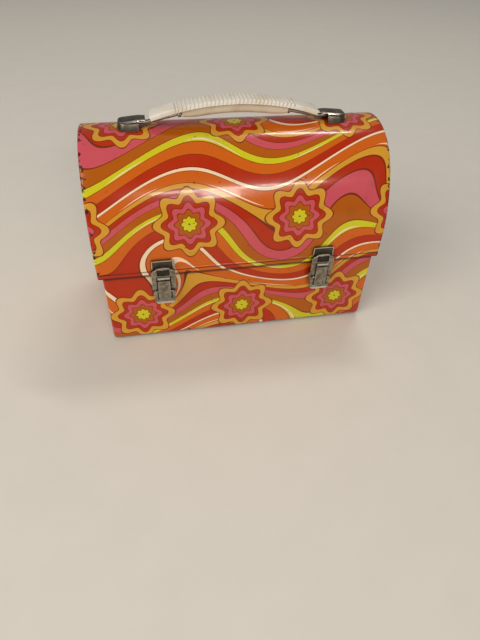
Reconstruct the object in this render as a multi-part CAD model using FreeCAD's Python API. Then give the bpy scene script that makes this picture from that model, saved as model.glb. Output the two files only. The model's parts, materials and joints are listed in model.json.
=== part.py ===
import FreeCAD, Part
import math
import os

# A steel lunch box with a domed lid: a bent base, a hinged lid, two draw latches and a swinging handle.
# Millimetres. X is the width, Y runs from front (-) to back (+), Z is up.
# The origin is the middle of the underside.

# Sheet metal
sheet = 0.5
fold = 4.5
edge_radius = 2.0
rivet_radius = 1.2
rivet_head_radius = 1.9
rivet_head_height = 0.6
hole_clearance = 0.05
running_clearance = 0.05

# Lid
lid_width = 229.0
lid_depth = 114.0
lid_edge_z = 69.0
lid_wall_height = 17.5
dome_rise = 76.6
flank_easing = 23.4
bead_height = 4.6
bead_radius = 0.9
bead_proud = 0.4
bead_end_margin = 11.0

# Base and the fit of the lid over it
base_inset_end = 3.3
base_inset_front = 2.6
base_bend_radius = 6.0
base_rim_rise = 5.0
mouth_clearance = 0.5
lid_band_height = 4.0
base_band_height = 10.0
base_band_sheet = 0.6
band_corner_radius = 3.0

# Hinge along the back
hinge_knuckles = 11
hinge_knuckle_length = 17.0
hinge_knuckle_gap = 0.3
knuckle_radius = 2.2
hinge_pin_radius = 1.0
hinge_wall_gap = 0.4
leaf_sheet = 0.7
leaf_height = 9.0
leaf_notch_gap = 0.5
leaf_jog_drop = 5.0
hinge_rivets = 6
hinge_rivet_pitch = 34.0

# Latches: heights from the underside, reach measured out from the lid's front
latch_x = 64.5
latch_sheet = 0.8
keeper_half_width = 8.5
keeper_height = 13.5
keeper_border = 1.2
keeper_border_height = 8.4
hook_half_width = 4.8
hook_drop = 0.1
hook_sheet = 0.9
hook_reach = 5.6
hook_nose = 1.2
loop_half_width = 9.2
loop_window_half_width = 5.3
loop_sheet = 0.9
loop_hook_gap = 0.3
loop_bar_height = 3.0
loop_arch_rise = 4.2
loop_rim_depth = 1.1
loop_rim_height = 0.9
loop_pin_radius = 0.8
loop_eye_radius = 1.6
loop_pin_head = 0.6
loop_pin_head_radius = 1.3
lever_pin_radius = 0.9
lever_pivot_reach = 3.0
lever_pivot_drop = 4.5
loop_pivot_reach = 2.8
loop_pivot_drop = 10.5
tongue_half_width = 4.7
tongue_top_drop = 2.8
tongue_front = 5.4
tongue_flange_back = 1.4
tongue_flange_bottom_drop = 14.0
lift_half_width = 8.3
lift_top_drop = 13.5
lift_bottom_drop = 25.0
lift_front = 4.7
lift_back = 0.6
lift_corner_radius = 3.2
tongue_bottom_margin = 3.6
bracket_half_width = 7.0
bracket_top_drop = 2.0
bracket_bottom_drop = 20.0
bracket_ear_gap = 0.3
bracket_ear_radius = 1.4
bracket_ear_height = 5.5
bracket_rivet_spread = 3.0
bracket_rivet_drop = 16.5
keeper_rivet_spread = 4.5
keeper_rivet_height = 6.3

# Handle
handle_axis_height = 2.6
handle_half_length = 63.0
handle_crest_height = 18.5
handle_arc_radius = 202.0
cover_thickness = 3.5
cover_half_width = 6.9
cover_groove_depth = 0.6
rib_count = 30
rib_pitch = 3.0
rib_width = 1.8
cover_end_chamfer = 2.5
core_half_width = 5.5
core_thickness = 7.0
core_half_length = 40.0
core_round = 3.0
bail_radius = 1.4
bail_depth_in_core = 4.0
bail_bend_radius = 12.0
bail_head_radius = 2.2
bail_head_length = 2.4
ferrule_radius = 2.5
ferrule_length = 2.4

# Handle ears
ear_grip_gap = 8.0
ear_length = 15.0
ear_half_width = 8.0
ear_nose_half_width = 5.0
ear_sheet = 1.0
ear_height = 6.6
ear_round = 0.9
ear_flap = 5.0
ear_flap_half_width = 6.5
ear_web_offset = 1.5
ear_tab_length = 6.0
ear_tab_foot = 2.6
ear_plate_sheet = 0.8
ear_plate_margin = 5.0
tab_slot_clearance = 0.1

# Bottle retainer in the dome
retainer_wire_radius = 1.5
retainer_half_length = 46.0
retainer_height = 14.0
retainer_pivot_inset = 5.5
retainer_bar_inset = 9.5
retainer_bend_radius = 5.0
retainer_stub = 11.0
retainer_sheet = 0.8
retainer_bracket_height = 7.0
retainer_bracket_length = 9.0
retainer_bracket_gap = 6.0
clip_half_width = 8.0
clip_gap = 0.3
clip_leg_drop = 2.2
clip_plate_drop = 6.0

# Derived sizes
Vector = FreeCAD.Vector
X_AXIS = Vector(1, 0, 0)
Y_AXIS = Vector(0, 1, 0)
Z_AXIS = Vector(0, 0, 1)
through = 1.0
same_place = 1e-6
lid_half_width = lid_width / 2
lid_half_depth = lid_depth / 2
spring_z = lid_edge_z + lid_wall_height
crown_z = spring_z + dome_rise
flank_radius = dome_rise + flank_easing
flank_centre_y = flank_radius - lid_half_depth
crown_radius = (flank_radius ** 2 - flank_centre_y ** 2 - dome_rise ** 2) / (2 * flank_easing)
crown_centre_z = crown_z - crown_radius
base_half_width = lid_half_width - base_inset_end
base_half_depth = lid_half_depth - base_inset_front
base_rim_height = lid_edge_z + base_rim_rise
hinge_y = lid_half_depth + hinge_wall_gap + knuckle_radius
hinge_z = lid_edge_z
handle_axis_z = crown_z + handle_axis_height
ear_inner_x = handle_half_length + ear_grip_gap
arc_centre_z = crown_z + handle_crest_height - handle_arc_radius
cover_inner_radius = handle_arc_radius - cover_thickness


def box(low, high):
    """A box from its lowest to its highest corner."""
    size = Vector(*high) - Vector(*low)
    return Part.makeBox(size.x, size.y, size.z, Vector(*low))


def cylinder(start, direction, radius, length):
    return Part.makeCylinder(radius, length, start, direction)


def joined(shapes):
    """One solid from overlapping or touching pieces."""
    first = shapes[0]
    return first.fuse(shapes[1:]).removeSplitter() if len(shapes) > 1 else first


def prism(points, direction):
    """A solid from a flat outline of straight runs."""
    outline = Part.makePolygon(points + [points[0]])
    return Part.Face(outline).extrude(direction)


def mirrored(shape):
    """The same piece on the other side of the middle plane, as a true copy of its surfaces."""
    return shape.mirror(Vector(0, 0, 0), X_AXIS)


def export(name, shape):
    shape.exportStep("parts/" + name + ".step")


def rivet(seat, outward, grip):
    """A rivet whose head sits on the outer sheet and whose tail is set against the inner one."""
    shank = cylinder(seat, outward * -1, rivet_radius, grip)
    head = Part.makeCone(rivet_head_radius, rivet_radius, rivet_head_height, seat, outward)
    tail_seat = seat - outward * grip
    tail = Part.makeCone(rivet_head_radius, rivet_radius, rivet_head_height, tail_seat, outward * -1)
    return joined([shank, head, tail])


def rivet_hole(seat, outward, grip):
    start = seat + outward * through
    return cylinder(start, outward * -1, rivet_radius + hole_clearance, grip + 2 * through)


# Sheet profiles, drawn in the Y Z plane and run along X
def dome_profile(inset, low_z):
    """The lid's section: two straight walls, two flanks and a crown that run into each other."""
    half = lid_half_depth - inset
    flank = flank_radius - inset
    crown = crown_radius - inset
    join_angle = math.atan2(crown_centre_z - spring_z, flank_centre_y)

    def flank_point(angle, side):
        y = flank_centre_y - flank * math.cos(angle)
        return Vector(0, -side * y, spring_z + flank * math.sin(angle))

    low_front = Vector(0, -half, low_z)
    low_back = Vector(0, half, low_z)
    crown_point = Vector(0, 0, crown_centre_z + crown)
    front = [flank_point(join_angle * share, -1) for share in (0, 0.5, 1)]
    back = [flank_point(join_angle * share, 1) for share in (1, 0.5, 0)]
    curves = [
        Part.LineSegment(low_front, front[0]),
        Part.Arc(*front),
        Part.Arc(front[2], crown_point, back[0]),
        Part.Arc(*back),
        Part.LineSegment(back[2], low_back),
        Part.LineSegment(low_back, low_front),
    ]
    return Part.Face(Part.Wire([curve.toShape() for curve in curves]))


def tray_profile(inset, high_z):
    """The base's section: front, bottom and back with two rounded bends."""
    half = base_half_depth - inset
    bend = base_bend_radius - inset
    corner = bend * math.sqrt(0.5)

    def bend_point(side, across, down):
        y = side * (base_half_depth - base_bend_radius + across)
        return Vector(0, y, base_bend_radius - down)

    high_front = Vector(0, -half, high_z)
    high_back = Vector(0, half, high_z)
    front = [bend_point(-1, bend, 0), bend_point(-1, corner, corner), bend_point(-1, 0, bend)]
    back = [bend_point(1, 0, bend), bend_point(1, corner, corner), bend_point(1, bend, 0)]
    curves = [
        Part.LineSegment(high_front, front[0]),
        Part.Arc(*front),
        Part.LineSegment(front[2], back[0]),
        Part.Arc(*back),
        Part.LineSegment(back[2], high_back),
        Part.LineSegment(high_back, high_front),
    ]
    return Part.Face(Part.Wire([curve.toShape() for curve in curves]))


def run_along_x(face, half_length):
    moved = face.translated(X_AXIS * -half_length)
    return moved.extrude(X_AXIS * (2 * half_length))


def rounded_ends(solid, half_length, radius, mouth_z):
    """Rounds the end edges of a run, apart from those at its open side."""
    def at_end(edge):
        bounds = edge.BoundBox
        flat = bounds.XLength < same_place and abs(abs(bounds.Center.x) - half_length) < same_place
        at_mouth = bounds.ZLength < same_place and abs(bounds.Center.z - mouth_z) < same_place
        return flat and not at_mouth

    return solid.makeFillet(radius, [edge for edge in solid.Edges if at_end(edge)])


def folded_wrap(profile, half_length, mouth_z):
    """A bent sheet whose two ends are folded in as a narrow rim for the end panels."""
    outer = rounded_ends(run_along_x(profile(0, mouth_z), half_length), half_length, edge_radius, mouth_z)
    inner_half = half_length - sheet
    inner_run = run_along_x(profile(sheet, mouth_z), inner_half)
    inner = rounded_ends(inner_run, inner_half, edge_radius - sheet, mouth_z)
    window = run_along_x(profile(fold, mouth_z), half_length + through)
    return outer.cut(inner).cut(window)


def end_panel(profile, half_length, mouth_z):
    """A flat panel that lies against the inside of the folded rim, at the -X end."""
    face = profile(edge_radius + hole_clearance, mouth_z)
    return face.translated(X_AXIS * (sheet - half_length)).extrude(X_AXIS * sheet)


def rounded_block(half_x, half_y, low_z, high_z, radius):
    """A block with its four upright edges rounded."""
    block = box((-half_x, -half_y, low_z), (half_x, half_y, high_z))
    upright = [edge for edge in block.Edges if edge.BoundBox.ZLength > (high_z - low_z) / 2]
    return block.makeFillet(radius, upright)


def rounded_frame(half_x, half_y, wall_x, wall_y, low_z, height):
    """A band that follows a mouth, with rounded outer corners."""
    outside = rounded_block(half_x, half_y, low_z, low_z + height, band_corner_radius)
    inner_radius = max(band_corner_radius - max(wall_x, wall_y), sheet)
    inside = rounded_block(half_x - wall_x, half_y - wall_y, low_z - through, low_z + height + through,
                           inner_radius)
    return outside.cut(inside)


# Places that several pieces share
far = 4 * lid_width
lid_mouth_margin = lid_edge_z - 2 * edge_radius
base_mouth_margin = base_rim_height + 2 * edge_radius
above_lid_edge = box((-far, -far, lid_edge_z), (far, far, far))
below_base_rim = box((-far, -far, -far), (far, far, base_rim_height))


def hinge_rivet_seats(y, z):
    first = -hinge_rivet_pitch * (hinge_rivets - 1) / 2
    return [Vector(first + hinge_rivet_pitch * index, y, z) for index in range(hinge_rivets)]


lid_leaf_bottom = hinge_z + knuckle_radius + leaf_notch_gap
base_leaf_top = hinge_z - leaf_jog_drop
lid_hinge_seats = hinge_rivet_seats(lid_half_depth + leaf_sheet, lid_leaf_bottom + leaf_height / 2)
base_hinge_seats = hinge_rivet_seats(base_half_depth + leaf_sheet, base_leaf_top - leaf_height / 2)
hinge_grip = leaf_sheet + sheet


def latch_point(side, across, reach, drop):
    """A point of a latch: across its width, out from the lid's front, down from the lid's edge."""
    return Vector(side * latch_x + across, -lid_half_depth - reach, lid_edge_z - drop)


def latch_box(side, half_width, reaches, drops):
    low = latch_point(side, -half_width, reaches[1], drops[1])
    high = latch_point(side, half_width, reaches[0], drops[0])
    return box(tuple(low), tuple(high))


def latch_pair(side, inner, outer, reaches, drops):
    """Two equal blocks, one at each edge of a latch."""
    whole = latch_box(side, outer, reaches, drops)
    middle = latch_box(side, inner, (reaches[0] - through, reaches[1] + through),
                       (drops[0] - through, drops[1] + through))
    return whole.cut(middle)


def keeper_rivet_seats(side):
    spots = (-keeper_rivet_spread, keeper_rivet_spread)
    return [latch_point(side, across, latch_sheet, -keeper_rivet_height) for across in spots]


def bracket_rivet_seats(side):
    spots = (-bracket_rivet_spread, bracket_rivet_spread)
    reach = latch_sheet - base_inset_front
    return [latch_point(side, across, reach, bracket_rivet_drop) for across in spots]


FRONT = Y_AXIS * -1
latch_grip = latch_sheet + sheet


# Ears: an outline seen from above, at the +X end
deep_z = crown_centre_z
ear_top_z = crown_z + ear_height
ear_roof_z = ear_top_z - ear_sheet
ear_web_x = ear_inner_x + ear_web_offset
ear_tab_taper = (ear_half_width - ear_nose_half_width) * ear_tab_length / ear_length
ear_plate_inner_radius = crown_radius - sheet - ear_plate_sheet


def ear_face(inset, mouth_x):
    """A hood's plan: wide at its mouth, with straight sides that run to a round nose."""
    wide = ear_half_width - inset
    nose = ear_nose_half_width - inset
    nose_x = ear_inner_x + ear_length - ear_nose_half_width
    points = [Vector(mouth_x, -wide, deep_z), Vector(nose_x, -nose, deep_z)]
    far_points = [Vector(nose_x, nose, deep_z), Vector(mouth_x, wide, deep_z)]
    curves = [
        Part.LineSegment(*points),
        Part.Arc(points[1], Vector(nose_x + nose, 0, deep_z), far_points[0]),
        Part.LineSegment(*far_points),
        Part.LineSegment(far_points[1], points[0]),
    ]
    return Part.Face(Part.Wire([curve.toShape() for curve in curves]))


def dome_cylinder(radius):
    """A round bar that matches the crown's own curve at a given radius."""
    start = Vector(-lid_width, 0, crown_centre_z)
    return cylinder(start, X_AXIS, radius, 2 * lid_width)


def ear_tab_places():
    """The two tabs of one ear: where along X, and on which side."""
    near = ear_inner_x + ear_tab_length / 2
    return [(near, side) for side in (-1, 1)]


def tab_block(x, side, clearance, low_z, high_z):
    half = ear_tab_length / 2 + clearance
    inner = ear_half_width - ear_sheet - ear_tab_taper
    ends = sorted((side * (inner - clearance), side * (inner + ear_sheet + clearance)))
    return box((x - half, ends[0], low_z), (x + half, ends[1], high_z))


# Lid pieces
def make_lid_wrap():
    wrap = folded_wrap(dome_profile, lid_half_width, lid_mouth_margin).common(above_lid_edge)
    bead_z = lid_edge_z + bead_height
    bead_end = lid_half_width - bead_end_margin
    gap = keeper_half_width + through
    spans = [
        (-bead_end, -latch_x - gap),
        (-latch_x + gap, latch_x - gap),
        (latch_x + gap, bead_end),
    ]
    outside = box((-far, -far, lid_edge_z), (far, sheet / 2 - lid_half_depth, crown_z))
    for start, end in spans:
        centre = Vector(start, -lid_half_depth + bead_radius - bead_proud, bead_z)
        bead = cylinder(centre, X_AXIS, bead_radius, end - start)
        wrap = wrap.fuse(bead.common(outside))
    cutters = [rivet_hole(seat, Y_AXIS, hinge_grip) for seat in lid_hinge_seats]
    for side in (-1, 1):
        cutters += [rivet_hole(seat, FRONT, latch_grip) for seat in keeper_rivet_seats(side)]
    cutters += ear_slots(crown_z + through)
    return wrap.removeSplitter().cut(cutters)


def ear_slots(high_z):
    slots = [tab_block(x, side, tab_slot_clearance, deep_z, high_z) for x, side in ear_tab_places()]
    return slots + [mirrored(slot) for slot in slots]


def make_lid_end():
    return end_panel(dome_profile, lid_half_width, lid_mouth_margin).common(above_lid_edge)


def make_lid_band():
    half_x = lid_half_width - 2 * sheet
    half_y = lid_half_depth - sheet
    wall_x = half_x - base_half_width - mouth_clearance
    wall_y = half_y - base_half_depth - mouth_clearance
    return rounded_frame(half_x, half_y, wall_x, wall_y, lid_edge_z, lid_band_height)


# Base pieces
def make_base_wrap():
    wrap = folded_wrap(tray_profile, base_half_width, base_mouth_margin).common(below_base_rim)
    cutters = [rivet_hole(seat, Y_AXIS, hinge_grip) for seat in base_hinge_seats]
    for side in (-1, 1):
        cutters += [rivet_hole(seat, FRONT, latch_grip) for seat in bracket_rivet_seats(side)]
    return wrap.cut(cutters)


def make_base_end():
    return end_panel(tray_profile, base_half_width, base_mouth_margin).common(below_base_rim)


def make_base_band():
    half_x = base_half_width - 2 * sheet
    half_y = base_half_depth - sheet
    low_z = base_rim_height - base_band_height
    return rounded_frame(half_x, half_y, base_band_sheet, base_band_sheet, low_z, base_band_height)


# Hinge pieces
hinge_half_length = hinge_knuckles * hinge_knuckle_length / 2
knuckle_bore = hinge_pin_radius + running_clearance


def knuckle_spans(first):
    """The start and end of every second knuckle."""
    spans = []
    for index in range(first, hinge_knuckles, 2):
        start = index * hinge_knuckle_length - hinge_half_length
        spans.append((start + hinge_knuckle_gap / 2, start + hinge_knuckle_length - hinge_knuckle_gap / 2))
    return spans


def knuckle(start, end):
    return cylinder(Vector(start, hinge_y, hinge_z), X_AXIS, knuckle_radius, end - start)


def hinge_bore():
    start = Vector(-hinge_half_length - through, hinge_y, hinge_z)
    return cylinder(start, X_AXIS, knuckle_bore, 2 * (hinge_half_length + through))


def make_lid_leaf():
    back = lid_half_depth
    top = lid_leaf_bottom + leaf_height
    pieces = [box((-hinge_half_length, back, lid_leaf_bottom), (hinge_half_length, back + leaf_sheet, top))]
    for start, end in knuckle_spans(1):
        pieces.append(knuckle(start, end))
        pieces.append(box((start, back, hinge_z), (end, back + leaf_sheet, lid_leaf_bottom + leaf_sheet)))
    holes = [rivet_hole(seat, Y_AXIS, hinge_grip) for seat in lid_hinge_seats]
    return joined(pieces).cut([hinge_bore()] + holes)


def make_base_leaf():
    wall = base_half_depth
    tab_back = hinge_y - knuckle_radius
    low = base_leaf_top - leaf_height
    pieces = [
        box((-hinge_half_length, wall, low), (hinge_half_length, wall + leaf_sheet, base_leaf_top)),
        box((-hinge_half_length, wall, base_leaf_top - leaf_sheet),
            (hinge_half_length, tab_back + leaf_sheet, base_leaf_top)),
    ]
    for start, end in knuckle_spans(0):
        pieces.append(knuckle(start, end))
        pieces.append(box((start, tab_back, base_leaf_top - leaf_sheet),
                          (end, tab_back + leaf_sheet, hinge_z)))
    holes = [rivet_hole(seat, Y_AXIS, hinge_grip) for seat in base_hinge_seats]
    return joined(pieces).cut([hinge_bore()] + holes)


def make_hinge_pin():
    start = Vector(-hinge_half_length, hinge_y, hinge_z)
    return cylinder(start, X_AXIS, hinge_pin_radius, 2 * hinge_half_length)


def rivet_group(seats, outward, grip):
    return Part.makeCompound([rivet(seat, outward, grip) for seat in seats])


# Latch pieces
def make_keeper(side):
    """A plate with a raised border on three sides and a hook shelf that turns down at its end."""
    top = -(hook_sheet + keeper_height)
    shelf_top = hook_drop - hook_sheet
    raised = (0, latch_sheet + keeper_border)
    plate = latch_box(side, keeper_half_width, (0, latch_sheet), (top, shelf_top))
    border = latch_pair(side, keeper_half_width - latch_sheet, keeper_half_width, raised,
                        (top, top + keeper_border_height))
    top_edge = latch_box(side, keeper_half_width, raised, (top, top + latch_sheet))
    shelf = latch_box(side, hook_half_width, (0, hook_reach), (shelf_top, hook_drop))
    nose = latch_box(side, hook_half_width, (hook_reach - hook_sheet, hook_reach),
                     (shelf_top, hook_drop + hook_nose))
    holes = [rivet_hole(seat, FRONT, latch_grip) for seat in keeper_rivet_seats(side)]
    return joined([plate, border, top_edge, shelf, nose]).cut(holes)


loop_front = loop_pivot_reach + loop_eye_radius
loop_back = loop_front - loop_sheet
loop_bar_drop = hook_drop - hook_sheet - loop_hook_gap


def arch_face(side, reach, lowered):
    """The outline of the loop's outside: two straight rails under an arched top."""
    shoulder = loop_bar_drop - loop_bar_height + lowered
    points = [
        latch_point(side, -loop_half_width, reach, shoulder),
        latch_point(side, 0, reach, shoulder - loop_arch_rise),
        latch_point(side, loop_half_width, reach, shoulder),
    ]
    low_left = latch_point(side, -loop_half_width, reach, loop_pivot_drop)
    low_right = latch_point(side, loop_half_width, reach, loop_pivot_drop)
    curves = [
        Part.LineSegment(low_left, points[0]),
        Part.Arc(*points),
        Part.LineSegment(points[2], low_right),
        Part.LineSegment(low_right, low_left),
    ]
    return Part.Face(Part.Wire([curve.toShape() for curve in curves]))


def make_loop(side):
    """A stamped frame: two rails with eyes for the loop pin, and an arched bar over the hook."""
    frame = arch_face(side, loop_back, 0).extrude(FRONT * loop_sheet)
    rim = arch_face(side, loop_back - loop_rim_depth, 0).extrude(FRONT * loop_rim_depth)
    under_rim = arch_face(side, loop_back - loop_rim_depth, loop_rim_height).extrude(FRONT * loop_rim_depth)
    below_shoulder = latch_box(side, loop_half_width + through,
                               (loop_back - loop_rim_depth - through, loop_back + through),
                               (loop_bar_drop - loop_bar_height, loop_pivot_drop + through))
    rim = rim.cut([under_rim, below_shoulder])
    window = latch_box(side, loop_window_half_width, (loop_back - through, loop_front + through),
                       (loop_bar_drop, loop_pivot_drop + through))
    eye_length = loop_half_width - loop_window_half_width
    pieces = [frame.cut(window), rim]
    bore_start = latch_point(side, -loop_half_width - through, loop_pivot_reach, loop_pivot_drop)
    bore_length = 2 * (loop_half_width + through)
    for start in (-loop_half_width, loop_window_half_width):
        eye_start = latch_point(side, start, loop_pivot_reach, loop_pivot_drop)
        pieces.append(cylinder(eye_start, X_AXIS, loop_eye_radius, eye_length))
    bore = cylinder(bore_start, X_AXIS, loop_pin_radius + running_clearance, bore_length)
    return joined(pieces).cut(bore)


def make_loop_pin(side):
    reach = loop_half_width + running_clearance
    start = latch_point(side, -reach, loop_pivot_reach, loop_pivot_drop)
    end = latch_point(side, reach, loop_pivot_reach, loop_pivot_drop)
    shank = cylinder(start, X_AXIS, loop_pin_radius, 2 * reach)
    heads = [
        cylinder(start, X_AXIS * -1, loop_pin_head_radius, loop_pin_head),
        cylinder(end, X_AXIS, loop_pin_head_radius, loop_pin_head),
    ]
    return joined([shank] + heads)


def lever_pivot(side, across):
    return latch_point(side, across, lever_pivot_reach, lever_pivot_drop)


def rounded_low_corners(block, radius):
    """A latch block with its two lower front-to-back edges rounded."""
    middle_z = block.BoundBox.Center.z
    low_edges = [
        edge for edge in block.Edges
        if edge.BoundBox.YLength > latch_sheet and edge.BoundBox.Center.z < middle_z
        and edge.BoundBox.XLength < same_place and edge.BoundBox.ZLength < same_place
    ]
    return block.makeFillet(radius, low_edges)


def make_lever(side):
    """A tongue with two flanges for the pins, widening into a dished finger lift."""
    tongue_back = tongue_front - latch_sheet
    tongue = latch_box(side, tongue_half_width, (tongue_back, tongue_front),
                       (tongue_top_drop, lift_bottom_drop - tongue_bottom_margin))
    flanges = latch_pair(side, tongue_half_width - latch_sheet, tongue_half_width,
                         (tongue_flange_back, tongue_front), (tongue_top_drop, tongue_flange_bottom_drop))
    lift = latch_box(side, lift_half_width, (lift_back, lift_front), (lift_top_drop, lift_bottom_drop))
    lift = rounded_low_corners(lift, lift_corner_radius)
    hollow = latch_box(side, lift_half_width - latch_sheet, (lift_back - through, lift_front - latch_sheet),
                       (lift_top_drop - through, lift_bottom_drop - latch_sheet))
    hollow = rounded_low_corners(hollow, lift_corner_radius - latch_sheet)
    body = joined([tongue, flanges, lift.cut(hollow)])
    bore_half = tongue_half_width + through
    pivot_start = lever_pivot(side, -bore_half)
    pivot_bore = cylinder(pivot_start, X_AXIS, lever_pin_radius + running_clearance, 2 * bore_half)
    pin_start = latch_point(side, -bore_half, loop_pivot_reach, loop_pivot_drop)
    pin_bore = cylinder(pin_start, X_AXIS, loop_pin_radius, 2 * bore_half)
    return body.cut([pivot_bore, pin_bore])


def make_bracket(side):
    """A plate on the base's front with two ears that carry the lever pin."""
    wall = -base_inset_front
    plate = latch_box(side, bracket_half_width, (wall, wall + latch_sheet),
                      (bracket_top_drop, bracket_bottom_drop))
    outer = tongue_half_width - latch_sheet - bracket_ear_gap
    inner = outer - latch_sheet
    reach = (wall, lever_pivot_reach)
    top = lever_pivot_drop - bracket_ear_radius
    low = lever_pivot_drop + bracket_ear_radius
    roots = latch_pair(side, inner, outer, (wall, wall + 2 * latch_sheet), (top, top + bracket_ear_height))
    pieces = [plate, latch_pair(side, inner, outer, reach, (top, low)), roots]
    for start in (-outer, inner):
        pieces.append(cylinder(lever_pivot(side, start), X_AXIS, bracket_ear_radius, latch_sheet))
    bore = cylinder(lever_pivot(side, -outer - through), X_AXIS, lever_pin_radius, 2 * (outer + through))
    holes = [rivet_hole(seat, FRONT, latch_grip) for seat in bracket_rivet_seats(side)]
    return joined(pieces).cut([bore] + holes)


def make_lever_pin(side):
    return cylinder(lever_pivot(side, -tongue_half_width), X_AXIS, lever_pin_radius, 2 * tongue_half_width)


# Handle pieces, turned about a line across the box under the grip's arc
def arc_section(half_width, low_radius, high_radius):
    """A rectangle across the grip, on the middle plane."""
    points = [
        Vector(0, -half_width, arc_centre_z + low_radius),
        Vector(0, half_width, arc_centre_z + low_radius),
        Vector(0, half_width, arc_centre_z + high_radius),
        Vector(0, -half_width, arc_centre_z + high_radius),
    ]
    return Part.Face(Part.makePolygon(points + [points[0]]))


def swept_arc(section, start_angle, end_angle):
    """A section turned about the arc's centre, between two angles from the middle."""
    centre = Vector(0, 0, arc_centre_z)
    turned = section.copy()
    turned.rotate(centre, Y_AXIS, start_angle)
    return turned.revolve(centre, Y_AXIS, end_angle - start_angle)


def angle_at(x, radius):
    return math.degrees(math.asin(x / radius))


def make_grip_cover():
    """The ribbed strap on top of the grip, with plain end blocks."""
    end_angle = angle_at(handle_half_length, handle_arc_radius)
    rib_zone = rib_count * rib_pitch / 2
    zone_angle = angle_at(rib_zone, handle_arc_radius)
    wide = cover_half_width + cover_groove_depth
    high = handle_arc_radius
    slim = arc_section(cover_half_width, cover_inner_radius, high - cover_groove_depth)
    full = arc_section(wide, cover_inner_radius, high)
    pieces = [swept_arc(slim, -end_angle, end_angle)]
    for side in (-1, 1):
        angles = sorted((side * zone_angle, side * end_angle))
        block = swept_arc(full, angles[0], angles[1])
        pieces.append(block.cut(end_chamfer(side, end_angle)))
    rib_angle = angle_at(rib_width / 2, high)
    for index in range(1, rib_count):
        middle = angle_at(index * rib_pitch - rib_zone, high)
        pieces.append(swept_arc(full, middle - rib_angle, middle + rib_angle))
    return joined([pieces[0].cut([end_chamfer(-1, end_angle), end_chamfer(1, end_angle)])] + pieces[1:])


def end_chamfer(side, end_angle):
    """The wedge that slopes the upper corner of an end block."""
    high = arc_centre_z + handle_arc_radius
    half_width = 2 * cover_half_width
    points = [
        Vector(-cover_end_chamfer, -half_width, high + through),
        Vector(through, -half_width, high + through),
        Vector(through, -half_width, high - cover_end_chamfer - through),
    ]
    wedge = prism(points, Y_AXIS * (2 * half_width))
    if side < 0:
        wedge = mirrored(wedge)
    wedge.rotate(Vector(0, 0, arc_centre_z), Y_AXIS, side * end_angle)
    return wedge


core_low_radius = cover_inner_radius - core_thickness
bail_arc_radius = core_low_radius + bail_depth_in_core


def make_grip_core():
    """The smooth lower half of the grip, rounded below and bored for the bail."""
    low = arc_centre_z + core_low_radius
    high = arc_centre_z + cover_inner_radius
    corner = core_round * (1 - math.sqrt(0.5))
    half = core_half_width
    curves = [
        Part.LineSegment(Vector(0, -half, high), Vector(0, -half, low + core_round)),
        Part.Arc(Vector(0, -half, low + core_round), Vector(0, corner - half, low + corner),
                 Vector(0, core_round - half, low)),
        Part.LineSegment(Vector(0, core_round - half, low), Vector(0, half - core_round, low)),
        Part.Arc(Vector(0, half - core_round, low), Vector(0, half - corner, low + corner),
                 Vector(0, half, low + core_round)),
        Part.LineSegment(Vector(0, half, low + core_round), Vector(0, half, high)),
        Part.LineSegment(Vector(0, half, high), Vector(0, -half, high)),
    ]
    section = Part.Face(Part.Wire([curve.toShape() for curve in curves]))
    end_angle = angle_at(core_half_length, bail_arc_radius)
    bore_angle = angle_at(core_half_length + through, bail_arc_radius)
    return swept_arc(section, -end_angle, end_angle).cut(bail_arc(bail_radius, bore_angle))


def bail_arc(radius, end_angle):
    """The round stretch of wire that follows the grip."""
    centre = Vector(0, 0, arc_centre_z + bail_arc_radius)
    circle = Part.Face(Part.Wire(Part.Circle(centre, X_AXIS, radius).toShape()))
    return swept_arc(circle, -end_angle, end_angle)


def round_bar(start, end, radius):
    direction = end - start
    return cylinder(start, direction, radius, direction.Length)


def bail_knee():
    """The point where the wire's slope meets the pivot line, and the slope's angle."""
    angle = math.radians(angle_at(core_half_length, bail_arc_radius))
    leave = Vector(bail_arc_radius * math.sin(angle), 0, arc_centre_z + bail_arc_radius * math.cos(angle))
    run = (leave.z - handle_axis_z) / math.tan(angle)
    knee = Vector(leave.x + run, 0, handle_axis_z)
    return leave, knee, angle


def make_bail():
    """A wire that follows the grip, slopes to the pivot line and ends in a headed journal in each ear."""
    leave, knee, angle = bail_knee()
    setback = bail_bend_radius * math.tan(angle / 2)
    bend_start = knee - Vector(math.cos(angle), 0, -math.sin(angle)) * setback
    bend_end = knee + X_AXIS * setback
    head_start = Vector(ear_web_x + ear_sheet + running_clearance, 0, handle_axis_z)
    head_end = head_start + X_AXIS * bail_head_length
    bend_centre = bend_end + Z_AXIS * bail_bend_radius
    circle = Part.Face(Part.Wire(Part.Circle(bend_end, X_AXIS, bail_radius).toShape()))
    bend = circle.revolve(bend_centre, Y_AXIS, math.degrees(angle))
    half = [
        round_bar(leave, bend_start, bail_radius),
        bend,
        round_bar(bend_end, head_end, bail_radius),
        round_bar(head_start, head_end, bail_head_radius),
    ]
    grip = bail_arc(bail_radius, math.degrees(angle))
    return joined([grip] + half + [mirrored(piece) for piece in half])


def make_ferrules():
    """The two metal collars where the wire leaves the core."""
    leave, knee, angle = bail_knee()
    along = Vector(math.cos(angle), 0, -math.sin(angle))
    collar = cylinder(leave, along, ferrule_radius, ferrule_length)
    bore = cylinder(leave - along * through, along, bail_radius, ferrule_length + 2 * through)
    collar = collar.cut(bore)
    return Part.makeCompound([collar, mirrored(collar)])


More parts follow.
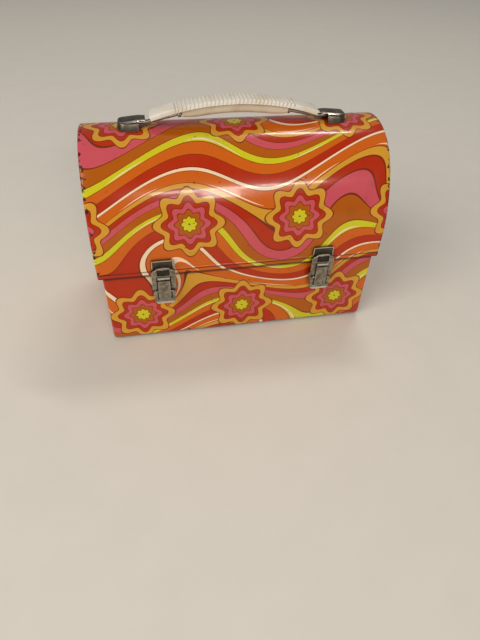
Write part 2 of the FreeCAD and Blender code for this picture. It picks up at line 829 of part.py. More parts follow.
# Ear pieces
def make_ear():
    """A hood with a roof flap over its open mouth and a web that bears the bail, at the +X end."""
    outside = ear_face(0, ear_inner_x).extrude(Z_AXIS * (ear_top_z - deep_z))
    top_edges = [
        edge for edge in outside.Edges
        if edge.BoundBox.ZLength < same_place and edge.BoundBox.Center.z > ear_top_z - same_place
        and edge.BoundBox.Center.x > ear_inner_x + same_place
    ]
    outside = outside.makeFillet(ear_round, top_edges)
    inside = ear_face(ear_sheet, ear_inner_x - through).extrude(Z_AXIS * (ear_roof_z - deep_z))
    flap = box((ear_inner_x - ear_flap, -ear_flap_half_width, ear_roof_z),
               (ear_inner_x + ear_sheet, ear_flap_half_width, ear_top_z))
    web_half = ear_half_width - ear_sheet / 2 - ear_tab_taper
    web = box((ear_web_x, -web_half, deep_z), (ear_web_x + ear_sheet, web_half, ear_roof_z + ear_sheet / 2))
    bore_start = Vector(ear_inner_x - through, 0, handle_axis_z)
    bore_length = ear_web_offset + 2 * ear_sheet + through
    bore = cylinder(bore_start, X_AXIS, bail_radius + running_clearance, bore_length)
    hood = joined([outside.cut(inside), flap, web]).cut([dome_cylinder(crown_radius), bore])
    tabs = []
    for x, side in ear_tab_places():
        stem = tab_block(x, side, 0, ear_plate_inner_z(ear_tab_foot) - ear_sheet, crown_z)
        foot = tab_foot(x, side)
        tabs += [stem, foot]
    return joined([hood] + tabs)


def ear_plate_inner_z(extra):
    """The height of the backing plate's underside beyond the tabs."""
    y = ear_half_width + extra
    return crown_centre_z + math.sqrt(ear_plate_inner_radius ** 2 - y ** 2)


def tab_foot(x, side):
    """The clinched end of a tab, turned outward under the backing plate."""
    half = ear_tab_length / 2
    inner = ear_half_width - ear_sheet - ear_tab_taper
    ends = sorted((side * inner, side * (inner + ear_sheet + ear_tab_foot)))
    low_z = ear_plate_inner_z(ear_tab_foot) - ear_sheet
    block = box((x - half, ends[0], low_z), (x + half, ends[1], crown_z))
    return block.common(dome_cylinder(ear_plate_inner_radius))


def make_ear_plate():
    """The curved plate inside the dome that spreads the handle's pull."""
    half = ear_half_width + ear_plate_margin
    block = box((ear_inner_x - ear_plate_margin, -half, deep_z), (ear_inner_x + ear_length, half, crown_z))
    plate = block.common(dome_cylinder(crown_radius - sheet)).cut(dome_cylinder(ear_plate_inner_radius))
    return plate.cut(ear_slots(crown_z + through))


# Bottle retainer pieces
retainer_z = lid_edge_z + retainer_height
retainer_pivot_y = lid_half_depth - sheet - retainer_pivot_inset
retainer_bar_y = retainer_bar_inset - lid_half_depth
bracket_x = retainer_half_length + retainer_bracket_gap
BACK_INNER_Y = lid_half_depth - sheet
FRONT_INNER_Y = sheet - lid_half_depth


def make_retainer():
    """A wire gate: two stubs in the brackets, two arms and a bar that snaps into the clip."""
    stub_end = retainer_half_length + retainer_stub
    route = [
        Vector(-stub_end, retainer_pivot_y, retainer_z),
        Vector(-retainer_half_length, retainer_pivot_y, retainer_z),
        Vector(-retainer_half_length, retainer_bar_y, retainer_z),
        Vector(retainer_half_length, retainer_bar_y, retainer_z),
        Vector(retainer_half_length, retainer_pivot_y, retainer_z),
        Vector(stub_end, retainer_pivot_y, retainer_z),
    ]
    edges = []
    start = route[0]
    for before, corner, after in zip(route, route[1:], route[2:]):
        arrive = (corner - before).normalize()
        depart = (after - corner).normalize()
        bend_start = corner - arrive * retainer_bend_radius
        bend_end = corner + depart * retainer_bend_radius
        middle = corner + (depart - arrive) * (retainer_bend_radius * (1 - math.sqrt(0.5)))
        edges.append(Part.LineSegment(start, bend_start).toShape())
        edges.append(Part.Arc(bend_start, middle, bend_end).toShape())
        start = bend_end
    edges.append(Part.LineSegment(start, route[-1]).toShape())
    circle = Part.Wire(Part.Circle(route[0], X_AXIS, retainer_wire_radius).toShape())
    return Part.Wire(edges).makePipeShell([circle], True, False)


def make_retainer_bracket():
    """An angle on the dome's inner back, with an eye for the retainer's stub, at the +X end."""
    half = retainer_bracket_height / 2
    flange = box((bracket_x, BACK_INNER_Y - retainer_sheet, retainer_z - half),
                 (bracket_x + retainer_sheet + retainer_bracket_length, BACK_INNER_Y, retainer_z + half))
    ear = box((bracket_x, retainer_pivot_y, retainer_z - half),
              (bracket_x + retainer_sheet, BACK_INNER_Y, retainer_z + half))
    pivot = Vector(bracket_x, retainer_pivot_y, retainer_z)
    eye = cylinder(pivot, X_AXIS, half, retainer_sheet)
    bore_radius = retainer_wire_radius + running_clearance
    bore = cylinder(pivot - X_AXIS * through, X_AXIS, bore_radius, retainer_sheet + 2 * through)
    return joined([flange, ear, eye]).cut(bore)


def make_retainer_clip():
    """A spring clip on the dome's inner front: two legs that the bar snaps up between."""
    reach = retainer_wire_radius + clip_gap
    low = retainer_z - clip_leg_drop
    high = retainer_z + reach
    plate = box((-clip_half_width, FRONT_INNER_Y, retainer_z - clip_plate_drop),
                (clip_half_width, FRONT_INNER_Y + retainer_sheet, high))
    bridge = box((-clip_half_width, FRONT_INNER_Y, high),
                 (clip_half_width, retainer_bar_y + reach + retainer_sheet, high + retainer_sheet))
    legs = []
    for inner in (retainer_bar_y - reach - retainer_sheet, retainer_bar_y + reach):
        legs.append(box((-clip_half_width, inner, low), (clip_half_width, inner + retainer_sheet, high)))
    return joined([plate, bridge] + legs)


def write_pairs():
    """Pieces that come once on each side."""
    for name, side in (("left", -1), ("right", 1)):
        export("latch_keeper_" + name, make_keeper(side))
        export("latch_loop_" + name, make_loop(side))
        export("latch_loop_pin_" + name, make_loop_pin(side))
        export("latch_lever_" + name, make_lever(side))
        export("latch_lever_pin_" + name, make_lever_pin(side))
        export("latch_bracket_" + name, make_bracket(side))
    for name, shape, at_right in (
        ("base_end", make_base_end(), False),
        ("lid_end", make_lid_end(), False),
        ("handle_ear", make_ear(), True),
        ("ear_plate", make_ear_plate(), True),
        ("retainer_bracket", make_retainer_bracket(), True),
    ):
        export(name + "_left", mirrored(shape) if at_right else shape)
        export(name + "_right", shape if at_right else mirrored(shape))


def write_singles():
    """Pieces that come once, and groups of equal rivets."""
    keeper_seats = keeper_rivet_seats(-1) + keeper_rivet_seats(1)
    bracket_seats = bracket_rivet_seats(-1) + bracket_rivet_seats(1)
    export("base_wrap", make_base_wrap())
    export("base_rim_band", make_base_band())
    export("lid_wrap", make_lid_wrap())
    export("lid_rim_band", make_lid_band())
    export("hinge_leaf_base", make_base_leaf())
    export("hinge_leaf_lid", make_lid_leaf())
    export("hinge_pin", make_hinge_pin())
    export("hinge_rivets_base", rivet_group(base_hinge_seats, Y_AXIS, hinge_grip))
    export("hinge_rivets_lid", rivet_group(lid_hinge_seats, Y_AXIS, hinge_grip))
    export("keeper_rivets", rivet_group(keeper_seats, FRONT, latch_grip))
    export("bracket_rivets", rivet_group(bracket_seats, FRONT, latch_grip))
    export("grip_cover", make_grip_cover())
    export("grip_core", make_grip_core())
    export("handle_bail", make_bail())
    export("grip_ferrules", make_ferrules())
    export("bottle_retainer", make_retainer())
    export("retainer_clip", make_retainer_clip())


os.makedirs("parts", exist_ok=True)
write_pairs()
write_singles()
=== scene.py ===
# %% [markdown]
# # Dressing a dome-lid lunch box
# The packed model gives every piece at its real size, in metres, standing on z = 0 with its latches towards
# -Y. This lesson keeps that frame and never moves a packed piece. It remakes the pieces whose bends show
# most, and gives every piece the finish of a well-used tin box: printed paint, worn plating, moulded
# plastic.

# %% Load the packed model
import json
import math

import bmesh
import bpy
from mathutils import Matrix, Vector


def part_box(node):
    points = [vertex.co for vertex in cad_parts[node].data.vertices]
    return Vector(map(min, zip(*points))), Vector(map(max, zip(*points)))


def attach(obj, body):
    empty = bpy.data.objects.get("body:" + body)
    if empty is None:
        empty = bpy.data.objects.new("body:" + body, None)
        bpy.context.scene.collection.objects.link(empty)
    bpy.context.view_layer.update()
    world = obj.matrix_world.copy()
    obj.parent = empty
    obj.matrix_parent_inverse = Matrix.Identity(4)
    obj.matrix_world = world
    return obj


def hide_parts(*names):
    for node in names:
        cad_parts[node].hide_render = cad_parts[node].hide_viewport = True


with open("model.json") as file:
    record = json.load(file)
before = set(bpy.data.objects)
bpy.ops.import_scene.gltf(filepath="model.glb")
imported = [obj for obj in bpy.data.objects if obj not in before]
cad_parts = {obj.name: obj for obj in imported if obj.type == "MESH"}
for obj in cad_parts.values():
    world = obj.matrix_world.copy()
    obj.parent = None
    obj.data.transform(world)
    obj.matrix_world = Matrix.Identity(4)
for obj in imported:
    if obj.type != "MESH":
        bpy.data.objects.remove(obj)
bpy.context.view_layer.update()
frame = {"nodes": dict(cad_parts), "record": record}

mm = 0.001

# %% [markdown]
# ## Shared sizes
# The two bent sheets carry everything else, so their outer sizes are read from the packed pieces. The
# heights of the latches and of the dark lines of painted shade are measured from the lid's lower edge, and
# move with it.

# %% Sizes of the two sheets
lid_low, lid_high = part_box("lid_wrap")
lid_half_width = lid_high.x
lid_half_depth = lid_high.y
lid_edge_z = lid_low.z
base_half_width, base_half_depth, base_top_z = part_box("base_wrap")[1]
sheet_thickness = 0.5 * mm
fold_depth = 4.5 * mm
fold_rounding = 2.0 * mm
print("lid edge at", round(lid_edge_z / mm, 1), "mm, base rim at", round(base_top_z / mm, 1), "mm")

# %% [markdown]
# ## Camera
# The picture was taken from a little left of the middle, close up and looking down on the lid. A camera can
# be aimed by dragging it about, but the yaw, pitch and roll below were worked out from the box's own
# corners, so writing them down is exact and easy to change.

# %% Camera
camera_place = Vector((-68.0, -361.0, 304.5)) * mm
camera_yaw = math.radians(12.34)
camera_pitch = math.radians(43.31)
camera_roll = math.radians(2.51)
camera_lens = 27.21

ahead = Vector((math.sin(camera_yaw) * math.cos(camera_pitch),
                math.cos(camera_yaw) * math.cos(camera_pitch),
                -math.sin(camera_pitch)))
level = Vector((math.cos(camera_yaw), -math.sin(camera_yaw), 0))
upward = level.cross(ahead)
tilted_right = level * math.cos(camera_roll) + upward * math.sin(camera_roll)
tilted_up = upward * math.cos(camera_roll) - level * math.sin(camera_roll)

bpy.ops.object.camera_add()
camera = bpy.context.active_object
camera.matrix_world = (Matrix.Translation(camera_place)
                       @ Matrix((tilted_right, tilted_up, -ahead)).transposed().to_4x4())
camera.data.lens = camera_lens
camera.data.sensor_width = 36.0
camera.data.clip_start = 0.01
bpy.context.scene.camera = camera
print("camera", round(camera_place.length, 3), "m from the middle of the base")

# %% [markdown]
# ## Shader sums
# A finish is a web of nodes. Drawn by hand it is quick to start and slow to change, so here one small class
# stands for a socket, and sums written with it add the Math nodes. Every other node comes from `node`.

# %% A socket that can be used in sums
class Signal:
    """One socket of a finish; sums written with it become Math nodes."""

    def __init__(self, tree, socket=None):
        self.tree = tree
        self.socket = socket

    def feed(self, target, value):
        """Links a signal to a socket, or sets the socket's own value."""
        if isinstance(value, Signal):
            self.tree.links.new(value.socket, target)
        else:
            target.default_value = value

    def node(self, kind, settings=None, sockets=None, out=0):
        """Adds any node: its settings first, then the values or links of its sockets."""
        made = self.tree.nodes.new(kind)
        for name, value in (settings or {}).items():
            if name == "stops":
                set_stops(made.color_ramp, *value)
            else:
                setattr(made, name, value)
        for name, value in (sockets or {}).items():
            self.feed(made.inputs[name], value)
        return Signal(self.tree, made.outputs[out])

    def maths(self, operation, *values):
        return self.node("ShaderNodeMath", {"operation": operation}, dict(enumerate(values)))

    def __add__(self, other):
        return self.maths("ADD", self, other)

    def __sub__(self, other):
        return self.maths("SUBTRACT", self, other)

    def __rsub__(self, other):
        return self.maths("SUBTRACT", other, self)

    def __mul__(self, other):
        return self.maths("MULTIPLY", self, other)

    def __truediv__(self, other):
        return self.maths("DIVIDE", self, other)

    __radd__ = __add__
    __rmul__ = __mul__

    def ease(self, low, high):
        """Rises smoothly from 0 at low to 1 at high."""
        return self.node("ShaderNodeMapRange", {"interpolation_type": "SMOOTHSTEP"},
                         {"Value": self, "From Min": low, "From Max": high})

    def over(self, under, top):
        """Lays one colour over another wherever this mask is 1."""
        return self.node("ShaderNodeMix", {"data_type": "RGBA"}, {0: self, 6: under, 7: top}, out=2)


def set_stops(ramp, change, stops):
    """Gives a colour ramp its stops, and how it goes from one to the next."""
    ramp.interpolation = change
    while len(ramp.elements) > 1:
        ramp.elements.remove(ramp.elements[-1])
    ramp.elements[0].position = stops[0][0]
    ramp.elements[0].color = stops[0][1]
    for place, colour in stops[1:]:
        ramp.elements.new(place).color = colour


print("signals ready:", [name for name in vars(Signal) if not name.startswith("_")])

# %% [markdown]
# Some sums come back in many finishes: soft random blotches, painted shade with some dirt in corners, and
# edges painted bright, partly as rubbed wear and partly as a painted highlight. Ambient Occlusion finds the
# corners and the Bevel node finds the edges, so neither has to be painted by hand.

# %% Helpers for finishes
def paint(red, green, blue):
    """A colour as a paint chart gives it, 0 to 255, made linear for the shader."""
    parts = [value / 255 for value in (red, green, blue)]
    return tuple(part / 12.92 if part <= 0.04045 else ((part + 0.055) / 1.055) ** 2.4
                 for part in parts) + (1.0,)


def start_finish(name):
    """A new finish, and the pen that writes its nodes."""
    finish = bpy.data.materials.new(name)
    finish.use_nodes = True
    return finish, Signal(finish.node_tree)


def complete(pen, sockets, height, depth):
    """Feeds the finish's shader, with a bump of the given depth in metres."""
    shader = pen.tree.nodes["Principled BSDF"]
    bump = pen.node("ShaderNodeBump", None, {"Distance": depth, "Height": height})
    pen.feed(shader.inputs["Normal"], bump)
    for name, value in sockets.items():
        pen.feed(shader.inputs[name], value)


def grain(pen, place, scale, detail=3.0):
    """Soft random blotches, about 1 / scale metres across."""
    return pen.node("ShaderNodeTexNoise", None,
                    {"Vector": place, "Scale": scale, "Detail": detail, "Roughness": 0.6})


def object_place(pen):
    return pen.node("ShaderNodeTexCoord", None, None, out="Object")


def axes_of(pen, place):
    """The three numbers of a place, as signals."""
    split = pen.node("ShaderNodeSeparateXYZ", None, {"Vector": place})
    outputs = split.socket.node.outputs
    return [Signal(pen.tree, output) for output in outputs]


def corner_shade_and_dirt(pen, reach):
    """1 in tight corners of the piece and of its neighbours, 0 in the open: where painted shade and some dirt
    go.
    """
    open_sky = pen.node("ShaderNodeAmbientOcclusion", {"samples": 8}, {"Distance": reach}, out="AO")
    return 1 - open_sky.ease(0.35, 0.95)


def edge_wear_and_highlight(pen, radius):
    """1 along the sharp outer edges, painted bright there: partly rubbed wear, partly painted highlight."""
    rounded = pen.node("ShaderNodeBevel", {"samples": 6}, {"Radius": radius})
    plain = pen.node("ShaderNodeNewGeometry", None, None, out="Normal")
    match = pen.node("ShaderNodeVectorMath", {"operation": "DOT_PRODUCT"}, {0: rounded, 1: plain},
                     out="Value")
    return 1 - match.ease(0.80, 0.99)


print("pale paint, linear:", [round(part, 2) for part in paint(250, 222, 190)[:3]])

# %% [markdown]
# ## Light and floor
# The box stands on a plain pale floor. Three small soft lamps are placed where the glossy lid mirrors them:
# a long strip low in front, which gives the thin band across the lid's flank, a squarer one under it, which
# gives the glow in its middle, and a strip overhead for the thin band near the crown. A larger lamp from
# the left throws the soft shadow to the right.

# %% Lamps, world and floor
lamp_aim = Vector((0, 0, 0.09))
warm_white = (1.0, 0.95, 0.88)
room_white = (0.96, 0.97, 1.0, 1.0)
room_strength = 0.25


def soft_lamp(name, direction, distance, wide, tall, watts):
    """A rectangular lamp that faces the box."""
    place = lamp_aim + Vector(direction).normalized() * distance
    bpy.ops.object.light_add(type="AREA", location=place)
    lamp = bpy.context.active_object
    lamp.name = name
    lamp.rotation_euler = (lamp_aim - place).to_track_quat("-Z", "Y").to_euler()
    lamp.data.shape = "RECTANGLE"
    lamp.data.size = wide
    lamp.data.size_y = tall
    lamp.data.energy = watts
    lamp.data.color = warm_white


soft_lamp("front_strip", (0.165, -0.872, 0.455), distance=2.4, wide=0.95, tall=0.09, watts=9.0)
soft_lamp("front_glow", (0.13, -0.915, 0.385), distance=2.4, wide=0.20, tall=0.28, watts=5.0)
soft_lamp("top_strip", (0.25, 0.40, 0.87), distance=2.2, wide=0.80, tall=0.09, watts=9.0)
soft_lamp("left_lamp", (-0.75, -0.50, 0.66), distance=2.2, wide=1.4, tall=1.4, watts=27.0)

world = bpy.data.worlds.new("soft_room")
world.use_nodes = True
background = world.node_tree.nodes["Background"]
background.inputs["Color"].default_value = room_white
background.inputs["Strength"].default_value = room_strength
bpy.context.scene.world = world
bpy.context.scene.view_settings.view_transform = "Standard"

bpy.ops.object.select_all(action="DESELECT")
bpy.ops.mesh.primitive_plane_add(size=8.0)
floor = bpy.context.active_object
floor.name = "pale_floor"
floor_finish, pen = start_finish("pale_floor")
floor_tone = grain(pen, object_place(pen), scale=30.0)
floor_colour = floor_tone.over(paint(222, 216, 204), paint(229, 223, 211))
complete(pen, {"Base Color": floor_colour, "Roughness": 0.6}, floor_tone, 0.1 * mm)
floor.data.materials.append(floor_finish)

# %% [markdown]
# ## Printed steel
# A tin box like this is printed flat, in a few glossy colours, before the sheet is bent. The design here is
# a plain retro one: wavy ribbons with dark outlines, strewn with simple daisies. It is written as sums of
# waves in the sheet's own flat measure, so the ribbons run over the bends without a break. Its lengths are
# in centimetres of sheet and the pitches of its waves in radians for each centimetre. Each colour starts at
# a share of its ribbon, or of its daisy's radius.

# %% The printed colours
print_red = paint(178, 40, 0)
print_orange = paint(206, 96, 12)
print_amber = paint(176, 88, 2)
print_gold = paint(212, 152, 44)
print_pink = paint(202, 80, 92)
print_lime = paint(206, 200, 26)
print_cream = paint(246, 214, 178)
print_line = paint(120, 38, 2)

ribbon_colours = [(0.00, print_red), (0.15, print_orange), (0.29, print_lime), (0.38, print_amber),
                  (0.51, print_pink), (0.62, print_red), (0.71, print_gold), (0.79, print_orange),
                  (0.95, print_cream)]
ribbon_length = 6.2
ribbon_slope = 0.85
ribbon_line = 0.009
bend_pitch = 0.43
bend_height = 1.7
curl_pitch = 0.34
curl_height = 0.9
sway_pitch_across = 0.22
sway_pitch_along = 0.55
sway_start = 1.3
sway_height = 1.1

strokes_per_ribbon = 2.0
stroke_start = 0.37
stroke_width = 0.035
stroke_pitch_across = 0.9
stroke_pitch_along = 0.35

daisy_colours = [(0.00, print_lime), (0.22, print_amber), (0.40, print_pink), (0.60, print_red),
                 (0.76, print_gold)]
daisy_spacing = 8.4
daisy_radius = 2.35
daisy_line = 0.03
daisy_rim = 1.04
petal_count = 8.0
petal_depth = 0.3
print(len(ribbon_colours), "ribbon colours,", len(daisy_colours), "daisy colours")

# %% The printed design
def outlined(colours, line):
    """Puts a thin dark line in front of each colour of a ramp."""
    stops = []
    for place, colour in colours:
        stops.append((place, print_line))
        stops.append((place + line, colour))
    return stops


def printed_colour(pen, across, along):
    """The design's colour at a point of the flat sheet, both measures in centimetres."""
    def wave(angle):
        return pen.maths("SINE", angle)

    def turn(length):
        return pen.maths("FRACT", length)

    def ramp(colours, line, place):
        stops = outlined(colours, line)
        return pen.node("ShaderNodeValToRGB", {"stops": ("CONSTANT", stops)}, {"Fac": place})

    bend = wave(across * bend_pitch + wave(along * curl_pitch) * curl_height) * bend_height
    sway = wave(across * sway_pitch_across - along * sway_pitch_along + sway_start) * sway_height
    flow = (along * ribbon_slope + bend + sway) / ribbon_length
    colour = ramp(ribbon_colours, ribbon_line, turn(flow))
    swell = wave(across * stroke_pitch_across + along * stroke_pitch_along) * stroke_width
    stroke = turn(flow * strokes_per_ribbon + stroke_start)
    colour = pen.maths("LESS_THAN", stroke, pen.maths("MAXIMUM", swell, 0.0)).over(colour, print_cream)

    row = pen.maths("FLOOR", along / daisy_spacing)
    side = turn((across + row * (daisy_spacing / 2)) / daisy_spacing) - 0.5
    rise = turn(along / daisy_spacing) - 0.5
    reach = pen.maths("SQRT", side * side + rise * rise) * daisy_spacing
    petals = pen.maths("COSINE", pen.maths("ARCTAN2", side, rise) * petal_count)
    bloom = reach / (daisy_radius + petals * petal_depth)
    colour = pen.maths("LESS_THAN", bloom, daisy_rim).over(colour, print_line)
    return pen.maths("LESS_THAN", bloom, 1.0).over(colour, ramp(daisy_colours, daisy_line, bloom))


print("ribbons repeat every", ribbon_length, "cm, daisies every", daisy_spacing, "cm")

# %% [markdown]
# Wear is what makes the print look used. Chips show bare dark steel along the folded ends, the bottom bends
# and most of all the lower corners, where such boxes are knocked. Thin dark lines on the front are painted
# shade with some dirt: under the bead, along the lid's edge, and on the base below that edge, where the lid
# rubs and casts its shadow. Each place is a range of the sheet's own measures, so the wear and the painted
# shade stay put when the lid opens.

# %% Where the print is worn, and where shade is painted
fold_start = (lid_half_width - 4.3 * mm, lid_half_width - 1.5 * mm)
fold_end = (lid_half_width + 0.5 * mm, lid_half_width + 1.9 * mm)
bottom_zone = (1.0 * mm, 7.0 * mm)
corner_zone = (2.6 * mm, 5.2 * mm)
corner_side = (base_half_width - 2.8 * mm, base_half_width - 0.8 * mm)
corner_wear = 0.7
between_fronts_y = -(lid_half_depth + base_half_depth) / 2
behind_fronts_y = -base_half_depth + 4.4 * mm
# Thin dark lines of painted shade, with some dirt: under the bead, along the lid's edge, and the lid's shadow
# on the base below it.
bead_shade_z = lid_edge_z + 3.8 * mm
bead_shade_width = 1.0 * mm
edge_shade_z = lid_edge_z + 0.1 * mm
edge_shade_width = 1.3 * mm
rub_and_shadow_z = lid_edge_z - 2.6 * mm
rub_and_shadow_width = 1.3 * mm
rub_and_shadow_strength = 0.8


def front_shade_lines(pen, axes):
    """1 along the thin dark lines of the front: painted shade, with some dirt."""
    def line(middle, width):
        return pen.maths("ABSOLUTE", axes["z"] - middle).ease(width, 0.0)

    on_base = pen.maths("GREATER_THAN", axes["y"], between_fronts_y)
    on_lid = 1 - on_base
    lid_lines = pen.maths("MAXIMUM", line(bead_shade_z, bead_shade_width), line(edge_shade_z, edge_shade_width))
    lines = on_lid * lid_lines + on_base * line(rub_and_shadow_z, rub_and_shadow_width) * rub_and_shadow_strength
    return lines * pen.maths("LESS_THAN", axes["y"], behind_fronts_y)


def sheet_wear(pen, across, height, bottom):
    """Adds the folds and the lower corners of a bent sheet to the wear of its bottom."""
    outward = pen.maths("ABSOLUTE", across)
    fold = outward.ease(*fold_start) * (1 - outward.ease(*fold_end))
    corner = outward.ease(*corner_side) * (1 - height.ease(*corner_zone))
    return pen.maths("MAXIMUM", bottom, fold) + corner * corner_wear


print("dirty lines at", [round(z / mm, 1) for z in (bead_shade_z, edge_shade_z, rub_and_shadow_z)], "mm")

# %% The printed finish
per_cm = 100.0
faded_print = paint(214, 120, 40)
fade_range = (0.35, 0.75)
fade_strength = 0.07
print_grime = paint(96, 50, 18)
grime_range = (0.55, 0.8)
grime_strength = 0.22
# Colour and strength of the painted shade, with some dirt, in the front's dark lines and in corners.
seam_shade_and_dirt = paint(44, 18, 8)
seam_shade_strength = 0.95
corner_reach = 5.0 * mm
corner_strength = 0.7
chip_steel = paint(46, 38, 32)
chip_range = (0.68, 0.71)
chip_wear = 0.14
speck_range = (0.735, 0.75)
print_relief = 0.4 * mm


def printed_steel(name, on_sheet):
    """Glossy print with chips: a bent sheet is read by its flat map, an end panel by its own y and z."""
    finish, pen = start_finish(name)
    place = object_place(pen)
    axes = dict(zip("xyz", axes_of(pen, place)))
    across = axes["y"]
    along = axes["z"]
    rubbed = 1 - axes["z"].ease(*bottom_zone)
    if on_sheet:
        across, along, _ = axes_of(pen, pen.node("ShaderNodeUVMap", {"uv_map": "flat_sheet"}))
        rubbed = sheet_wear(pen, across, axes["z"], rubbed)
    colour = printed_colour(pen, across * per_cm, along * per_cm)
    colour = (grain(pen, place, scale=22.0).ease(*fade_range) * fade_strength).over(colour, faded_print)
    # Painted shade, with some dirt, in thin lines under the bead, along the lid's edge and on the base below
    # it.
    colour = (front_shade_lines(pen, axes) * seam_shade_strength).over(colour, seam_shade_and_dirt)
    # Painted shade, with some dirt, in the corners that Ambient Occlusion finds.
    colour = (corner_shade_and_dirt(pen, corner_reach) * corner_strength).over(colour, seam_shade_and_dirt)
    chips = (grain(pen, place, scale=290.0, detail=6.0) + rubbed * chip_wear).ease(*chip_range)
    specks = grain(pen, place, scale=520.0, detail=2.0).ease(*speck_range)
    bare = pen.maths("MAXIMUM", chips, specks)
    grime_and_shade = grain(pen, place, scale=60.0, detail=5.0)
    colour = (grime_and_shade.ease(*grime_range) * grime_strength).over(colour, print_grime)
    colour = bare.over(colour, chip_steel)
    dents = grain(pen, place, scale=16.0, detail=1.0)
    height = dents * 0.6 - bare * 0.12 + grain(pen, place, scale=900.0, detail=1.0) * 0.01
    roughness = 0.13 + grime_and_shade * 0.1 + bare * 0.35
    complete(pen, {"Base Color": colour, "Roughness": roughness, "Metallic": bare * 0.6,
                   "Specular IOR Level": 0.22, "Coat Weight": 0.22, "Coat Roughness": 0.05},
             height, print_relief)
    return finish


wrap_print = printed_steel("printed_wrap", on_sheet=True)
end_print = printed_steel("printed_ends", on_sheet=False)
print("printed finishes:", wrap_print.name, end_print.name)

# %% [markdown]
# ## Plain metal and plastic finishes
# The metals of the box are strip steel, drawn wire, nickel plate from bright to blackened, the dark ears
# and the gold lacquer inside. The brightest nickel is laid on as a painted highlight and the blackest as
# painted shade. They differ only in colour, roughness and how much dirt and painted shade their corners
# hold, so one function makes them all.

# %% Metals
# How far from an edge the painted highlight and the rubbed wear reach.
edge_wear_and_highlight_width = 0.7 * mm
metal_relief = 0.06 * mm


def worn_metal_with_painted_light(name, bright, dull, dirt_and_shade, roughness, metallic, mottle, patches, dirt_and_shade_reach=3.0 * mm):
    """Metal that is bright on its edges, partly rubbed wear and partly painted highlight, dull on its faces,
    and darker in its corners with painted shade and dirt.
    """
    finish, pen = start_finish(name)
    place = object_place(pen)
    blotch = grain(pen, place, scale=mottle, detail=4.0)
    fine = grain(pen, place, scale=1800.0, detail=2.0)
    # Corners: painted shade with some dirt, where Ambient Occlusion finds little open sky.
    corners = corner_shade_and_dirt(pen, dirt_and_shade_reach)
    # Edges: painted bright, partly as rubbed wear and partly as a painted highlight.
    edges = edge_wear_and_highlight(pen, edge_wear_and_highlight_width) * (1 - corners * 0.5)
    colour = (blotch.ease(0.3, 0.75) * patches).over(dull, bright)
    colour = (edges * 0.9).over(colour, bright)
    colour = (corners * 0.8).over(colour, dirt_and_shade)
    rough = roughness + blotch * 0.14 + corners * 0.3 - edges * 0.08
    complete(pen, {"Base Color": colour, "Roughness": rough, "Metallic": metallic - corners * 0.4},
             blotch * 0.4 + fine * 0.2, metal_relief)
    return finish


bare_steel = worn_metal_with_painted_light("bare_steel", paint(204, 200, 192), paint(158, 152, 142), paint(58, 48, 40),
                        roughness=0.26, metallic=0.95, mottle=90.0, patches=0.6)
wire_steel = worn_metal_with_painted_light("wire_steel", paint(208, 204, 196), paint(158, 152, 142), paint(52, 44, 38),
                        roughness=0.24, metallic=0.95, mottle=160.0, patches=0.5)
lever_nickel = worn_metal_with_painted_light("lever_nickel", paint(218, 210, 194), paint(110, 102, 86), paint(24, 19, 15),
                          roughness=0.32, metallic=0.9, mottle=330.0, patches=0.45, dirt_and_shade_reach=1.6 * mm)
dark_nickel = worn_metal_with_painted_light("dark_nickel", paint(176, 166, 148), paint(88, 76, 60), paint(50, 42, 33),
                         roughness=0.34, metallic=0.6, mottle=260.0, patches=0.15, dirt_and_shade_reach=0.6 * mm)
# A dark nickel laid on the loop's sunk head as painted shade.
recess_shade_nickel = worn_metal_with_painted_light("recess_shade_nickel", paint(112, 102, 86), paint(50, 43, 33), paint(20, 16, 12),
                         roughness=0.42, metallic=0.6, mottle=260.0, patches=0.1, dirt_and_shade_reach=1.0 * mm)
# A bright nickel laid on lips, rims, edges and folds as a painted highlight, and on the lever partly as
# rubbed wear.
highlight_nickel = worn_metal_with_painted_light("highlight_nickel", paint(236, 231, 220), paint(196, 189, 175), paint(60, 52, 43),
                           roughness=0.22, metallic=0.95, mottle=200.0, patches=0.5, dirt_and_shade_reach=0.8 * mm)
tarnished_steel = worn_metal_with_painted_light("tarnished_steel", paint(172, 160, 142), paint(82, 74, 63), paint(24, 20, 16),
                             roughness=0.3, metallic=0.9, mottle=180.0, patches=0.3)
inside_lacquer = worn_metal_with_painted_light("inside_lacquer", paint(206, 186, 140), paint(178, 154, 106), paint(92, 70, 44),
                            roughness=0.32, metallic=0.75, mottle=45.0, patches=0.7)
metals = (bare_steel, wire_steel, lever_nickel, dark_nickel, recess_shade_nickel, highlight_nickel, tarnished_steel,
          inside_lacquer)
print("metals:", [finish.name for finish in metals])

# %% [markdown]
# The grip is two mouldings: a ribbed cream cover and a tan core under it. Old polythene of this kind is a
# little see-through and holds some grime between its ribs; its colour is darkened where the sky is shut out,
# which is painted shade as well as grime.

# %% Plastics
# How far the painted shade and grime reach into the grooves.
rib_shade_and_dirt_reach = 2.5 * mm
plastic_depth = (2.0 * mm, 1.2 * mm, 0.7 * mm)
plastic_relief = 0.15 * mm


def moulded_plastic(name, pale, stained, grime_and_shade, roughness):
    """Moulded plastic, stained in patches, and darker in its grooves with painted shade and some grime."""
    finish, pen = start_finish(name)
    place = object_place(pen)
    stain = grain(pen, place, scale=70.0, detail=4.0)
    pits = grain(pen, place, scale=1500.0, detail=2.0)
    # Painted shade with some grime, where Ambient Occlusion finds little open sky between the ribs.
    corners = corner_shade_and_dirt(pen, rib_shade_and_dirt_reach)
    colour = stain.ease(0.4, 0.75).over(pale, stained)
    colour = (corners * 0.7).over(colour, grime_and_shade)
    complete(pen, {"Base Color": colour, "Roughness": roughness + stain * 0.14,
                   "Subsurface Weight": 0.06, "Subsurface Radius": plastic_depth},
             stain * 0.3 + pits * 0.15, plastic_relief)
    return finish


